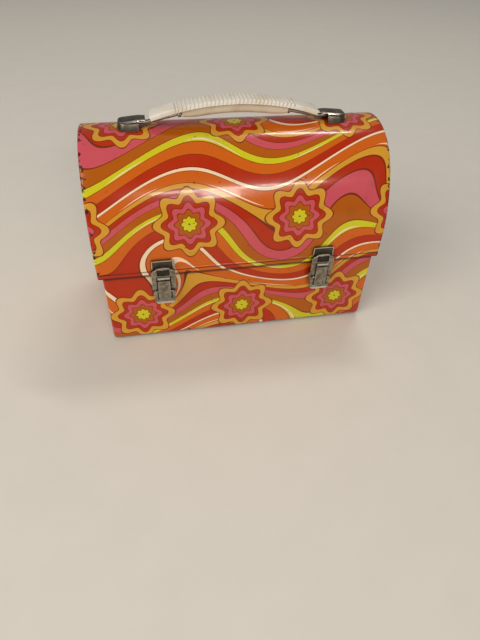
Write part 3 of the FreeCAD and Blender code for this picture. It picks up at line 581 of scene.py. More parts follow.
cream_plastic = moulded_plastic("cream_plastic", paint(232, 226, 212), paint(218, 206, 184),
                                paint(146, 124, 98), roughness=0.34)
tan_plastic = moulded_plastic("tan_plastic", paint(216, 202, 178), paint(200, 182, 154),
                              paint(124, 98, 72), roughness=0.3)
print("plastics:", cream_plastic.name, tan_plastic.name)

# %% [markdown]
# ## The dome's outline
# The lid is one sheet: a short upright wall, a gently curved flank, a tighter crown, and the same again
# behind. Each bend is a true arc, so a point of the sheet is known from how far it runs round from the
# front edge. Two short functions go from place to run and back, and everything that follows the dome uses
# them.

# %% Outline of the lid
lid_wall = 17.5 * mm
flank_radius = 100.0 * mm
crown_radius = 48.8 * mm

spring_z = lid_edge_z + lid_wall
flank_shift = flank_radius - lid_half_depth
join_angle = math.acos(flank_shift / (flank_radius - crown_radius))
crown_centre_z = spring_z + (flank_radius - crown_radius) * math.sin(join_angle)
crown_sweep = math.pi - 2 * join_angle
flank_run = flank_radius * join_angle
lid_half_run = lid_wall + flank_run + crown_radius * crown_sweep / 2


def lid_run(y, z):
    """Length of sheet from the front edge to a point of the dome."""
    crown_angle = math.atan2(z - crown_centre_z, abs(y))
    if z <= spring_z:
        run = z - lid_edge_z
    elif crown_angle < join_angle:
        run = lid_wall + flank_radius * math.atan2(z - spring_z, abs(y) + flank_shift)
    else:
        run = lid_wall + flank_run + crown_radius * (crown_angle - join_angle)
    return run if y < 0 else 2 * lid_half_run - run


def lid_point(run, inset):
    """The place y, z at a length round the sheet, a little inside it."""
    near = min(run, 2 * lid_half_run - run)
    if near <= lid_wall:
        y = inset - lid_half_depth
        z = lid_edge_z + near
    elif near <= lid_wall + flank_run:
        angle = (near - lid_wall) / flank_radius
        y = flank_shift - (flank_radius - inset) * math.cos(angle)
        z = spring_z + (flank_radius - inset) * math.sin(angle)
    else:
        angle = join_angle + (near - lid_wall - flank_run) / crown_radius
        y = -(crown_radius - inset) * math.cos(angle)
        z = crown_centre_z + (crown_radius - inset) * math.sin(angle)
    return (y if run <= lid_half_run else -y), z


print("crown at", round((crown_centre_z + crown_radius) / mm, 2), "mm, sheet",
      round(2 * lid_half_run / mm, 1), "mm long")

# %% [markdown]
# ## Helpers for modelling
# Every piece below is made with the tools of Edit Mode: pick some edges or faces, then extrude, spin, bevel
# or cut them. A script has no mouse to pick with, so `pick` takes a test on the place of the corners
# instead.

# %% Picking, moving and cutting
same_place = 0.01 * mm
merge_reach = 2 * same_place
slack = 0.1 * mm
quarter_turn = math.pi / 2
along_x = (1, 0, 0)
along_y = (0, 1, 0)
along_z = (0, 0, 1)


def same(one, other):
    return abs(one - other) < same_place


def pick(piece, kind, test):
    """Selects only the verts, edges or faces whose corners all pass the test."""
    bpy.ops.mesh.select_mode(type=kind)
    bpy.ops.mesh.select_all(action="DESELECT")
    form = bmesh.from_edit_mesh(piece.data)
    group = {"VERT": form.verts, "EDGE": form.edges, "FACE": form.faces}[kind]
    for part in group:
        corners = [part] if kind == "VERT" else part.verts
        if all(test(corner.co) for corner in corners):
            part.select_set(True)
    form.select_flush_mode()
    bmesh.update_edit_mesh(piece.data)


def move_picked(piece, place):
    """Moves each selected vert to where the function puts it."""
    form = bmesh.from_edit_mesh(piece.data)
    for vert in form.verts:
        if vert.select:
            vert.co = place(vert.co)
    bmesh.update_edit_mesh(piece.data)


def move_all(piece, place):
    """Moves every vert of the mesh to where the function puts it."""
    bpy.ops.mesh.select_all(action="SELECT")
    move_picked(piece, place)


def pull(*offset):
    """Extrudes what is selected by an offset along x, y and z."""
    bpy.ops.mesh.extrude_region_move(TRANSFORM_OT_translate={"value": offset})


def cut_across(points, direction):
    """Cuts the whole mesh by a flat plane at each point."""
    for point in points:
        bpy.ops.mesh.select_all(action="SELECT")
        bpy.ops.mesh.bisect(plane_co=point, plane_no=direction)


def face_outwards():
    """Turns every face of the mesh being edited to the outside."""
    bpy.ops.mesh.select_all(action="SELECT")
    bpy.ops.mesh.normals_make_consistent(inside=False)


print("places closer than", same_place / mm, "mm count as the same")

# %% Starting a piece and applying modifiers
def start_panel(name, width, low_z, high_z, y):
    """An upright rectangle facing the front: the first wall of a bent sheet."""
    bpy.ops.object.select_all(action="DESELECT")
    middle = (0, y, (low_z + high_z) / 2)
    bpy.ops.mesh.primitive_plane_add(size=1, location=middle, rotation=(quarter_turn, 0, 0))
    piece = bpy.context.active_object
    piece.name = name
    piece.scale = (width, high_z - low_z, 1)
    bpy.ops.object.transform_apply(location=True, rotation=True, scale=True)
    bpy.ops.object.mode_set(mode="EDIT")
    bpy.ops.mesh.select_mode(type="EDGE")
    return piece


def select_only(piece):
    bpy.ops.object.select_all(action="DESELECT")
    piece.select_set(True)
    bpy.context.view_layer.objects.active = piece


def use_modifier(piece, kind, **settings):
    """Adds a modifier with its settings and applies it."""
    select_only(piece)
    change = piece.modifiers.new(kind.lower(), kind)
    for name, value in settings.items():
        setattr(change, name, value)
    bpy.ops.object.modifier_apply(modifier=change.name)


def soften(piece, width, segments, degrees):
    """Rounds every edge that is sharper than the angle."""
    use_modifier(piece, "BEVEL", width=width, segments=segments, limit_method="ANGLE",
                 angle_limit=math.radians(degrees))


def smooth(piece, degrees):
    """Smooth shading, with edges sharper than the angle left crisp."""
    select_only(piece)
    bpy.ops.object.shade_smooth_by_angle(angle=math.radians(degrees))


print("panels start upright, turned by", round(math.degrees(quarter_turn)), "degrees")

# %% Finishing a piece
def hand_over(piece, body, node):
    """Says which body the piece rides on and which packed node it stands for."""
    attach(piece, body)
    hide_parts(node)


def own_copy(model, side_name):
    """A copy with its own mesh, named after its side."""
    copied = model.copy()
    copied.data = model.data.copy()
    copied.name = model.name + "_" + side_name
    bpy.context.scene.collection.objects.link(copied)
    return copied


def finish_sheet(piece, outside, degrees):
    """Gives a printed sheet its thickness, with print outside and lacquer inside."""
    piece.data.materials.append(outside)
    piece.data.materials.append(inside_lacquer)
    use_modifier(piece, "SOLIDIFY", thickness=sheet_thickness, offset=-1.0, material_offset=1)
    smooth(piece, degrees)


print("sheets are", sheet_thickness / mm, "mm thick")

# %% [markdown]
# ## Bending the lid
# A press bends this sheet round formers. In Blender the same is done with Spin: start from the flat front
# wall, pick its top edge, and spin it round the centre of each arc in turn. Extrude adds the back wall. The
# ends are then extruded and drawn in to make the narrow fold round each end, and a bevel rounds the fold.
# The flat map keeps every point's place on the sheet as it was before bending, which is where the print is
# laid.

# %% Folds and the flat map
def fold_ends(piece, half_width, run_of, point_at):
    """Turns both ends of a bent sheet in towards the middle of its outline."""
    for end_x in (-half_width, half_width):
        pick(piece, "EDGE", lambda co: same(co.x, end_x))
        pull(0, 0, 0)
        move_picked(piece, lambda co: Vector((co.x, *point_at(run_of(co.y, co.z), fold_depth))))

        def on_fold(co):
            outer = point_at(run_of(co.y, co.z), 0.0)
            return same(co.x, end_x) and same(co.y, outer[0]) and same(co.z, outer[1])

        pick(piece, "EDGE", on_fold)
        bpy.ops.mesh.bevel(offset=fold_rounding, segments=4, affect="EDGES", clamp_overlap=False)
    face_outwards()
    bpy.ops.object.mode_set(mode="OBJECT")


def lay_flat(piece, half_width, run_of, point_at, direction, start):
    """Gives the sheet a flat map, in metres, as it was when it was printed."""
    flat = piece.data.uv_layers.new(name="flat_sheet")
    for corner in piece.data.loops:
        co = piece.data.vertices[corner.vertex_index].co
        run = run_of(co.y, co.z)
        outer = point_at(run, 0.0)
        on_fold = abs(co.x) > half_width - 1.01 * fold_rounding
        inset = math.hypot(co.y - outer[0], co.z - outer[1]) if on_fold else 0.0
        flat.data[corner.index].uv = (co.x + math.copysign(inset, co.x), direction * (run - start))


print("folds:", fold_depth / mm, "mm deep, rounded by", fold_rounding / mm, "mm")

# %% Lid sheet
flank_steps = 14
crown_steps = 36

lid = start_panel("lid_sheet", 2 * lid_half_width, lid_edge_z, spring_z, -lid_half_depth)
pick(lid, "EDGE", lambda co: same(co.z, spring_z))
bpy.ops.mesh.spin(steps=flank_steps, angle=join_angle, center=(0, flank_shift, spring_z), axis=along_x)
bpy.ops.mesh.spin(steps=crown_steps, angle=crown_sweep, center=(0, 0, crown_centre_z), axis=along_x)
bpy.ops.mesh.spin(steps=flank_steps, angle=join_angle, center=(0, -flank_shift, spring_z), axis=along_x)
pull(0, 0, -lid_wall)
print("lid bent in", 2 * flank_steps + crown_steps, "steps")

# %% [markdown]
# A thin bead is pressed along the front of the lid, and stops short of the latches. The sheet is cut into
# narrow rows there, and the rows inside the bead are pushed out to a round section.

# %% Bead and folds of the lid
bead_z = lid_edge_z + 4.6 * mm
bead_radius = 0.9 * mm
bead_rows = (-1, -0.6, 0, 0.6, 1)
bead_proud = 0.4 * mm
bead_end = lid_half_width - 11.0 * mm
latch_x = 64.5 * mm
keeper_clearance = 9.5 * mm
bead_breaks = [latch_x - keeper_clearance, latch_x + keeper_clearance, bead_end]

cut_across([(0, 0, bead_z + bead_radius * row) for row in bead_rows], along_z)
for side in (-1, 1):
    for stop in bead_breaks:
        cut_across([(side * (stop + step), 0, 0) for step in (-bead_radius, 0, bead_radius)], along_x)


def on_bead(co):
    """True on the front of the lid, inside the bead's three spans."""
    across = abs(co.x)
    between_latches = across <= bead_breaks[0] + slack
    beyond_latch = bead_breaks[1] - slack <= across <= bead_end + slack
    return co.y < 0 and abs(co.z - bead_z) < bead_radius - slack and (between_latches or beyond_latch)


def raise_bead(co):
    """Pushes a point of the bead out to its round section."""
    return co - Vector((0, bead_proud * (1 - ((co.z - bead_z) / bead_radius) ** 2) ** 0.5, 0))


pick(lid, "VERT", on_bead)
move_picked(lid, raise_bead)
fold_ends(lid, lid_half_width, lid_run, lid_point)
lay_flat(lid, lid_half_width, lid_run, lid_point, direction=1.0, start=0.0)
finish_sheet(lid, wrap_print, degrees=40)
hand_over(lid, "lid", "lid_wrap")
print("lid sheet:", len(lid.data.polygons), "faces")

# %% [markdown]
# ## The base tray
# The base is the same job turned over: front wall, a small bend, the bottom, another bend and the back
# wall. It is a little narrower than the lid, so that the lid's edge closes over it. Its flat map starts at
# the lid's edge and runs downwards, so the ribbons carry on from the lid.

# %% Outline of the base
base_bend = 6.0 * mm
base_wall = base_top_z - base_bend
bend_y = base_half_depth - base_bend
bend_run = base_bend * math.pi / 2
base_half_run = base_wall + bend_run + bend_y


def base_run(y, z):
    """Length of sheet from the front edge, down and under, to a point of the base."""
    if z >= base_bend:
        run = base_top_z - z
    elif abs(y) >= bend_y:
        run = base_wall + base_bend * math.atan2(base_bend - z, abs(y) - bend_y)
    else:
        run = base_wall + bend_run + bend_y - abs(y)
    return run if y < 0 else 2 * base_half_run - run


def base_point(run, inset):
    """The place y, z at a length round the base sheet, a little inside it."""
    near = min(run, 2 * base_half_run - run)
    if near <= base_wall:
        y = inset - base_half_depth
        z = base_top_z - near
    elif near <= base_wall + bend_run:
        angle = (near - base_wall) / base_bend
        y = -bend_y - (base_bend - inset) * math.cos(angle)
        z = base_bend - (base_bend - inset) * math.sin(angle)
    else:
        y = near - base_half_run
        z = inset
    return (y if run <= base_half_run else -y), z


print("base sheet", round(2 * base_half_run / mm, 1), "mm long")

# %% Base sheet
bend_steps = 8

base = start_panel("base_sheet", 2 * base_half_width, base_bend, base_top_z, -base_half_depth)
pick(base, "EDGE", lambda co: same(co.z, base_bend))
bpy.ops.mesh.spin(steps=bend_steps, angle=-quarter_turn, center=(0, -bend_y, base_bend), axis=along_x)
pull(0, 2 * bend_y, 0)
bpy.ops.mesh.spin(steps=bend_steps, angle=-quarter_turn, center=(0, bend_y, base_bend), axis=along_x)
pull(0, 0, base_wall)
fold_ends(base, base_half_width, base_run, base_point)
lay_flat(base, base_half_width, base_run, base_point, direction=-1.0, start=base_top_z - lid_edge_z)
finish_sheet(base, wrap_print, degrees=40)
hand_over(base, "base", "base_wrap")
print("base sheet:", len(base.data.polygons), "faces")

# %% [markdown]
# ## End panels
# Each end is closed by a printed panel that sits just inside the fold. A circle of points is the quickest
# start: each point is moved to its place on the outline, and the disc is then crowned by an inset and a
# small push outwards, as the press leaves it, which also keeps a large panel from looking like paper.

# %% Four end panels
panel_gap = 0.9 * mm
panel_points = 96
panel_crown = 0.3 * mm
panel_border = 4.4 * mm


def end_panel(name, node, body, face_x, total_run, point_at):
    """A crowned panel with the outline of a bent sheet, facing away from the middle."""
    bpy.ops.object.select_all(action="DESELECT")
    bpy.ops.mesh.primitive_circle_add(vertices=panel_points, fill_type="NGON")
    panel = bpy.context.active_object
    panel.name = name
    for vert in panel.data.vertices:
        share = vert.index / (panel_points - 1)
        vert.co = (face_x, *point_at(total_run * share, panel_gap))
    outward = math.copysign(1.0, face_x)
    bpy.ops.object.mode_set(mode="EDIT")
    bpy.ops.mesh.select_mode(type="FACE")
    bpy.ops.mesh.select_all(action="SELECT")
    form = bmesh.from_edit_mesh(panel.data)
    form.normal_update()
    if list(form.faces)[0].normal.x * outward < 0:
        bpy.ops.mesh.flip_normals()
    bpy.ops.mesh.inset(thickness=panel_border)
    bpy.ops.transform.translate(value=(outward * panel_crown, 0, 0))
    bpy.ops.object.mode_set(mode="OBJECT")
    finish_sheet(panel, end_print, degrees=50)
    hand_over(panel, body, node)


for side, side_name in ((-1, "left"), (1, "right")):
    end_panel("lid_panel_" + side_name, "lid_end_" + side_name, "lid",
              side * (lid_half_width - sheet_thickness), 2 * lid_half_run, lid_point)
    end_panel("base_panel_" + side_name, "base_end_" + side_name, "base",
              side * (base_half_width - sheet_thickness), 2 * base_half_run, base_point)

# %% [markdown]
# ## Latches
# Each latch is four pressings: a keeper plate on the lid with a hook at its foot, a loop that catches the
# hook, a lever that pulls the loop down, and a bracket on the base. The three that show are folded here
# from flat blanks in the middle of the box, thickened, softened along their edges, and then copied to the
# left and right.

# %% Folding helpers for the latches
latch_face_y = -lid_half_depth
plate_thickness = 0.8 * mm
# bright_band is how far into a lip or rim the painted highlight reaches.
bright_band = 0.5 * mm
edge_band = 0.3 * mm


def thicken(model, finish, thickness, softness):
    """Gives a folded blank its thickness and its softened edges."""
    bpy.ops.object.mode_set(mode="OBJECT")
    model.data.materials.append(finish)
    use_modifier(model, "SOLIDIFY", thickness=thickness, offset=-1.0)
    soften(model, width=softness, segments=2, degrees=35)
    smooth(model, degrees=40)


def tint_faces(model, finish, test):
    """Gives a second finish to the faces whose middle passes the test."""
    model.data.materials.append(finish)
    for face in model.data.polygons:
        if test(face.center):
            face.material_index = len(model.data.materials) - 1


def place_pair(model, node, bodies):
    """Copies a piece to both latches and removes the model."""
    for side, side_name, body in ((-1, "left", bodies[0]), (1, "right", bodies[1])):
        copied = own_copy(model, side_name)
        copied.data.transform(Matrix.Translation((side * latch_x, 0, 0)))
        hand_over(copied, body, node + "_" + side_name)
    print(node, "pair:", len(model.data.polygons), "faces each")
    bpy.data.objects.remove(model)


print("latches at", round(latch_x / mm, 1), "mm each side of the middle")

# %% [markdown]
# The keeper is a dark plate with a lip round three sides, whose front is painted bright as a painted
# highlight. Its foot is a narrow shelf that turns down at the end: that is the hook. Each fold is one
# extrude of the edge that the press would bend. The rivets that hold it are hammered flush, so the left
# plate stands for them too.

# %% Keeper
keeper_half = 7.7 * mm
keeper_low = lid_edge_z + 0.8 * mm
keeper_high = lid_edge_z + 13.6 * mm
keeper_face = latch_face_y - plate_thickness
lip_low = lid_edge_z + 6.0 * mm
lip_depth = 1.2 * mm
hook_half = 4.8 * mm
hook_reach = 4.8 * mm
hook_lean = 0.3 * mm
hook_drop = 2.1 * mm

keeper = start_panel("keeper_plate", 2 * keeper_half, keeper_low, keeper_high, keeper_face)
cut_across([(0, 0, lip_low)], along_z)
cut_across([(-hook_half, 0, 0), (hook_half, 0, 0)], along_x)
pick(keeper, "EDGE", lambda co: same(co.z, keeper_low) and abs(co.x) < hook_half + slack)
pull(0, -hook_reach, 0)
pull(0, hook_lean, -hook_drop)
pick(keeper, "EDGE", lambda co: same(co.z, keeper_high))
pull(0, -lip_depth, 0)
for lip_x in (-keeper_half, keeper_half):
    pick(keeper, "EDGE", lambda co: same(co.x, lip_x) and co.z > lip_low - slack and same(co.y, keeper_face))
    pull(0, -lip_depth, 0)
bpy.ops.mesh.select_all(action="SELECT")
bpy.ops.mesh.remove_doubles(threshold=merge_reach)
thicken(keeper, dark_nickel, plate_thickness, softness=0.15 * mm)
# The lip's front faces get the bright nickel: a painted highlight.
tint_faces(keeper, highlight_nickel, lambda co: co.y < keeper_face - bright_band)
place_pair(keeper, "latch_keeper", ("lid", "lid"))
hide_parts("keeper_rivets")

# %% [markdown]
# The loop is a blank with an arched top and a window. The head above the window is sunk inside a narrow
# frame, the arch is turned back into a round rim, and the two rails under it are curled into eyes
# for the loop's pin, which is a spin of three quarters of a turn. The top of the rim is painted bright, as a
# painted highlight, and the sunk head dark, as painted shade.

# %% Sizes of the loop
loop_half = 9.2 * mm
loop_columns = 8
loop_window = loop_half * 5 / loop_columns
loop_bar = lid_edge_z + 1.1 * mm
loop_shoulder = lid_edge_z + 4.1 * mm
loop_arch = 4.2 * mm
loop_pivot_z = lid_edge_z - 10.5 * mm
loop_front = latch_face_y - 4.4 * mm
loop_eye = 1.6 * mm
eye_steps = 12
loop_frame = 0.7 * mm
loop_sink = 1.2 * mm
recess_rise = 3.0 * mm
loop_rim = 1.1 * mm
loop_sheet = 0.9 * mm


def arch_top(x):
    """Height of the loop's arched top at a distance from its middle."""
    return loop_shoulder + loop_arch * max(0.02, 1 - (x / loop_half) ** 2) ** 0.5


def in_window(co):
    return abs(co.x) < loop_window + slack


def in_recess(co):
    """True in the sunk head of the finished loop."""
    sunk = co.y > loop_front + edge_band and abs(co.x) < loop_window
    return sunk and loop_bar < co.z < loop_shoulder + recess_rise


print("loop", round((loop_shoulder + loop_arch - loop_pivot_z) / mm, 1), "mm tall above its pin")

# %% Loop
loop = start_panel("loop_plate", 2 * loop_half, loop_pivot_z, loop_shoulder + loop_arch, loop_front)
cut_across([(0, 0, loop_bar), (0, 0, loop_shoulder)], along_z)
for step in range(1 - loop_columns, loop_columns):
    cut_across([(loop_half * step / loop_columns, 0, 0)], along_x)
pick(loop, "FACE", lambda co: in_window(co) and co.z < loop_bar + slack)
bpy.ops.mesh.delete(type="FACE")
pick(loop, "VERT", lambda co: same(co.z, loop_shoulder + loop_arch))
move_picked(loop, lambda co: Vector((co.x, co.y, arch_top(co.x))))
pick(loop, "FACE", lambda co: in_window(co) and co.z > loop_bar - slack)
bpy.ops.mesh.inset(thickness=loop_frame)
pull(0, loop_sink, 0)
pick(loop, "EDGE", lambda co: co.z > loop_shoulder + slack and same(co.y, loop_front))
form = bmesh.from_edit_mesh(loop.data)
for edge in form.edges:
    edge.select_set(edge.select and edge.is_boundary)
bmesh.update_edit_mesh(loop.data)
pull(0, loop_rim, 0)
pick(loop, "EDGE", lambda co: same(co.z, loop_pivot_z))
eye_centre = (0, loop_front + loop_eye, loop_pivot_z)
bpy.ops.mesh.spin(steps=eye_steps, angle=-3 * quarter_turn, center=eye_centre, axis=along_x)
thicken(loop, lever_nickel, loop_sheet, softness=0.15 * mm)
# The sunk head gets the dark nickel: painted shade.
tint_faces(loop, recess_shade_nickel, in_recess)
# The top of the arch gets the bright nickel: a painted highlight.
tint_faces(loop, highlight_nickel, lambda co: co.z > arch_top(co.x) - bright_band)
place_pair(loop, "latch_loop", ("loop_left", "loop_right"))

# %% [markdown]
# The lever is a shallow dish that the thumb lifts, with its lower lip drawn forwards, and a raised tongue
# down its middle between two grooves. The tongue runs up past the dish to the pivot, where its sides turn
# back as two cheeks. A shallow panel is pressed into the tongue at the end.

# %% Sizes of the lever
lift_half = 8.3 * mm
lift_low = lid_edge_z - 25.0 * mm
lift_high = lid_edge_z - 13.5 * mm
lift_front = latch_face_y - 4.7 * mm
lift_corner = 3.2 * mm
lift_depth = 4.1 * mm
lift_lip = 1.3 * mm
lip_share = 0.9
lip_flare = 0.6 * mm
tongue_half = 4.7 * mm
tongue_low = lid_edge_z - 21.4 * mm
tongue_rise = 0.7 * mm
tongue_front = lift_front - tongue_rise
tongue_neck = 10.7 * mm
tongue_border = 0.9 * mm
tongue_sink = 0.35 * mm
slot_width = 1.4 * mm
slot_depth = 1.0 * mm
cheek_depth = 4.0 * mm


def on_lip(co):
    return co.z < lift_low + lip_share * lift_lip


def on_dish(co):
    """True on the dish's face beside and above the tongue's foot."""
    return co.z > tongue_low - slack and same(co.y, lift_front)


def on_neck(co):
    """True on the tongue's face, from the top of the dish upwards."""
    return co.z > lift_high - slack and same(co.y, tongue_front)


def on_rubbed_and_lit_edge(co):
    """True on the lip and on the two long edges of the tongue, which are painted bright: painted highlight,
    partly rubbed wear.
    """
    at_side = abs(abs(co.x) - tongue_half) < edge_band
    return on_lip(co) or (co.y < tongue_front + edge_band and at_side)


print("lever", round((lift_high + tongue_neck - lift_low) / mm, 1), "mm tall")

# %% Lever
lever = start_panel("lever_dish", 2 * lift_half, lift_low, lift_high, lift_front)
pick(lever, "VERT", lambda co: same(co.z, lift_low))
bpy.ops.mesh.bevel(offset=lift_corner, segments=5, affect="VERTICES", clamp_overlap=False)
cut_across([(0, 0, lift_low + lift_lip), (0, 0, tongue_low)], along_z)
for side in (-1, 1):
    cut_across([(side * (tongue_half + gap), 0, 0) for gap in (0, slot_width)], along_x)
bpy.ops.mesh.select_mode(type="EDGE")
bpy.ops.mesh.select_all(action="DESELECT")
form = bmesh.from_edit_mesh(lever.data)
for edge in form.edges:
    at_top = all(same(vert.co.z, lift_high) for vert in edge.verts)
    edge.select_set(edge.is_boundary and not at_top)
bmesh.update_edit_mesh(lever.data)
pull(0, lift_depth, 0)
pick(lever, "VERT", lambda co: same(co.y, lift_front) and on_lip(co))
move_picked(lever, lambda co: co - Vector((0, lip_flare, 0)))
for slot_x in (-tongue_half, tongue_half):
    slot_end = slot_x + math.copysign(slot_width, slot_x)
    pick(lever, "FACE", lambda co: (same(co.x, slot_x) or same(co.x, slot_end)) and on_dish(co))
    pull(0, slot_depth, 0)
pick(lever, "FACE", lambda co: abs(co.x) < tongue_half + slack and on_dish(co))
pull(0, -tongue_rise, 0)
pick(lever, "FACE", lambda co: same(co.z, lift_high) and abs(co.x) < tongue_half + slack)
bpy.ops.mesh.delete(type="ONLY_FACE")
pick(lever, "EDGE", lambda co: same(co.z, lift_high) and same(co.y, tongue_front))
pull(0, 0, tongue_neck)
for cheek_x in (-tongue_half, tongue_half):
    pick(lever, "EDGE", lambda co: same(co.x, cheek_x) and on_neck(co))
    pull(0, cheek_depth, 0)
pick(lever, "FACE", lambda co: same(co.y, tongue_front))
bpy.ops.mesh.inset(thickness=tongue_border)
pull(0, tongue_sink, 0)
thicken(lever, lever_nickel, plate_thickness, softness=0.3 * mm)
# The lip and the tongue's long edges get the bright nickel: painted highlight, partly rubbed wear.
tint_faces(lever, highlight_nickel, on_rubbed_and_lit_edge)
place_pair(lever, "latch_lever", ("lever_left", "lever_right"))

# %% [markdown]
# ## The grip
# The grip is a shallow arc of two mouldings. Its cross-section is drawn once at the middle, spun round the
# centre of the arc to one end, and mirrored. The cover's ribs are then pressed into the spun mesh by a
# rule: wherever the length along the arc falls in a groove, the top and sides are drawn in a little.

# %% Grip helpers
grip_radius = 202.0 * mm
grip_centre = Vector((0, 0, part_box("grip_cover")[1].z - grip_radius))


def spun_half(name, half_width, low_radius, high_radius, half_angle, steps, below, above):
    """Half of an arched bar: a rounded section spun from the middle to the right end."""
    bpy.ops.object.select_all(action="DESELECT")
    middle = grip_centre.z + (low_radius + high_radius) / 2
    bpy.ops.mesh.primitive_plane_add(size=1, location=(0, 0, middle), rotation=(0, quarter_turn, 0))
    bar = bpy.context.active_object
    bar.name = name
    bar.scale = (high_radius - low_radius, 2 * half_width, 1)
    bpy.ops.object.transform_apply(location=True, rotation=True, scale=True)
    bpy.ops.object.mode_set(mode="EDIT")
    for rounding, upper in ((below, False), (above, True)):
        pick(bar, "VERT", lambda co: (co.z > middle) == upper)
        bpy.ops.mesh.bevel(offset=rounding, segments=4, affect="VERTICES", clamp_overlap=False)
    pick(bar, "FACE", lambda co: True)
    bpy.ops.mesh.spin(steps=steps, angle=half_angle, center=grip_centre, axis=along_y)
    pick(bar, "FACE", lambda co: same(co.x, 0))
    bpy.ops.mesh.delete(type="ONLY_FACE")
    return bar


def close_bar(bar):
    """Mirrors the half bar and makes its faces point outwards."""
    bpy.ops.object.mode_set(mode="OBJECT")
    use_modifier(bar, "MIRROR", merge_threshold=merge_reach)
    bpy.ops.object.mode_set(mode="EDIT")
    face_outwards()
    bpy.ops.object.mode_set(mode="OBJECT")


def arc_place(co):
    """A point's angle from the crest, its distance from the arc's centre, and its offset from that centre."""
    out = co - grip_centre
    return math.atan2(out.x, out.z), math.hypot(out.x, out.z), out


def at_radius(out, radius, y):
    """The point in the same direction from the arc's centre, at another distance and depth."""
    scale = radius / math.hypot(out.x, out.z)
    return Vector((out.x * scale, y, grip_centre.z + out.z * scale))


print("grip arc centre", round(grip_centre.z / mm, 1), "mm")

# %% Ribbed cover
cover_half_length = 63.0 * mm
cover_half_width = 7.5 * mm
cover_thickness = 3.5 * mm
cover_low = grip_radius - cover_thickness
cover_half_angle = math.asin(cover_half_length / grip_radius)
cover_steps = 210
rib_pitch = 3.0 * mm
rib_zone = 45.0 * mm
groove_reach = 0.9 * mm
groove_slope = 0.4 * mm
groove_depth = 0.6 * mm
groove_foot = 0.4 * mm
groove_top = 1.2 * mm
groove_side_gain = 1.4
end_lean = 0.75  # radians
end_cut = 1.7 * mm


def press_groove(co):
    """Draws the top and sides in where the arc's length falls in a groove."""
    angle, radius, out = arc_place(co)
    length = abs(angle) * grip_radius
    if length > rib_zone or radius < cover_low + groove_foot:
        return co
    gap = abs(((length + rib_pitch / 2) % rib_pitch) - rib_pitch / 2)
    depth = groove_depth * max(0.0, min(1.0, (groove_reach - gap) / groove_slope))
    side_depth = depth * min(1.0, groove_side_gain * (radius - cover_low) / cover_thickness)
    side = co.y - math.copysign(side_depth, co.y) * min(1.0, abs(co.y) / cover_half_width)
    on_top = radius > grip_radius - groove_top
    return at_radius(out, radius - depth if on_top else radius, side)


cover = spun_half("grip_cover_ribbed", cover_half_width, cover_low, grip_radius, cover_half_angle,
                  cover_steps, below=0.5 * mm, above=1.1 * mm)
move_all(cover, press_groove)
end_top = grip_centre + Vector((math.sin(cover_half_angle), 0, math.cos(cover_half_angle))) * grip_radius
end_angle = cover_half_angle + end_lean
end_slope = Vector((math.sin(end_angle), 0, math.cos(end_angle)))
end_place = end_top - end_slope * end_cut
bpy.ops.mesh.select_all(action="SELECT")
bpy.ops.mesh.bisect(plane_co=end_place, plane_no=end_slope, use_fill=True, clear_outer=True)
close_bar(cover)
cover.data.materials.append(cream_plastic)
soften(cover, width=0.35 * mm, segments=2, degrees=50)
smooth(cover, degrees=45)
hand_over(cover, "handle", "grip_cover")
print("cover:", len(cover.data.polygons), "faces, box", [round(size / mm, 1) for size in cover.dimensions])

# %% [markdown]
# The core is the same kind of bar, smooth and rounder below. It thins a little towards its ends, where the
# wire of the handle comes out.

# %% Core under the cover
core_half_length = 40.0 * mm
core_half_width = 5.5 * mm
core_thickness = 7.0 * mm
core_half_angle = math.asin(core_half_length / cover_low)
core_steps = 48
taper_start = 26.0 * mm
taper_share = 0.3


def thin_ends(co):
    """Draws the underside up towards the cover near the ends of the core."""
    angle, radius, out = arc_place(co)
    length = abs(angle) * cover_low
    share = max(0.0, min(1.0, (length - taper_start) / (core_half_length - taper_start)))
    thinner = cover_low - (cover_low - radius) * (1 - taper_share * share * share)
    return at_radius(out, thinner, co.y)


core = spun_half("grip_core_bar", core_half_width, cover_low - core_thickness, cover_low, core_half_angle,
                 core_steps, below=3.0 * mm, above=0.6 * mm)
move_all(core, thin_ends)
close_bar(core)
core.data.materials.append(tan_plastic)
soften(core, width=0.6 * mm, segments=3, degrees=60)
smooth(core, degrees=45)
hand_over(core, "handle", "grip_core")
print("core:", len(core.data.polygons), "faces, box", [round(size / mm, 1) for size in core.dimensions])

# %% [markdown]
# ## Handle ears
# Each end of the handle hooks into a pressed cap on the lid: a low roof, rounded at the nose, with walls
# that flare a little where they meet the dome and a flap that reaches over the wire. It starts as a box,
# loses the two faces that a pressing doesn't have, and its lower edge is moved down on to the dome by the
# same arc that bent the lid.

# %% Sizes of the ears
ear_inner = 71.0 * mm
ear_outer = 86.4 * mm
ear_half = 8.0 * mm
ear_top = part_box("handle_ear_right")[1].z
ear_low = ear_top - 8.7 * mm
ear_nose_radius = 6.0 * mm
ear_nose_drop = 1.5 * mm
ear_nose_pull = 0.9 * mm
ear_roof_share = 0.94
ear_flare = 1.14
ear_round = 1.1 * mm
ear_pitch = 1.8 * mm
# Where the long folds of the cap are painted bright, as a painted highlight.
highlight_fold_low = ear_top - 1.9 * mm
highlight_fold_high = ear_top - 0.5 * mm
highlight_fold_y = 0.6 * ear_half
flap_half = 5.2 * mm
flap_reach = 5.0 * mm
flap_drop = 0.3 * mm


def dome_height(y):
    """Height of the dome's crown at a distance from its ridge."""
    return crown_centre_z + math.sqrt(crown_radius ** 2 - y ** 2)


def ear_roof(co):
    """Narrows the roof of the cap and lowers it towards the nose."""
    share = (co.x - ear_inner) / (ear_outer - ear_inner)
    return Vector((co.x - ear_nose_pull * share, co.y * ear_roof_share, co.z - ear_nose_drop * share))


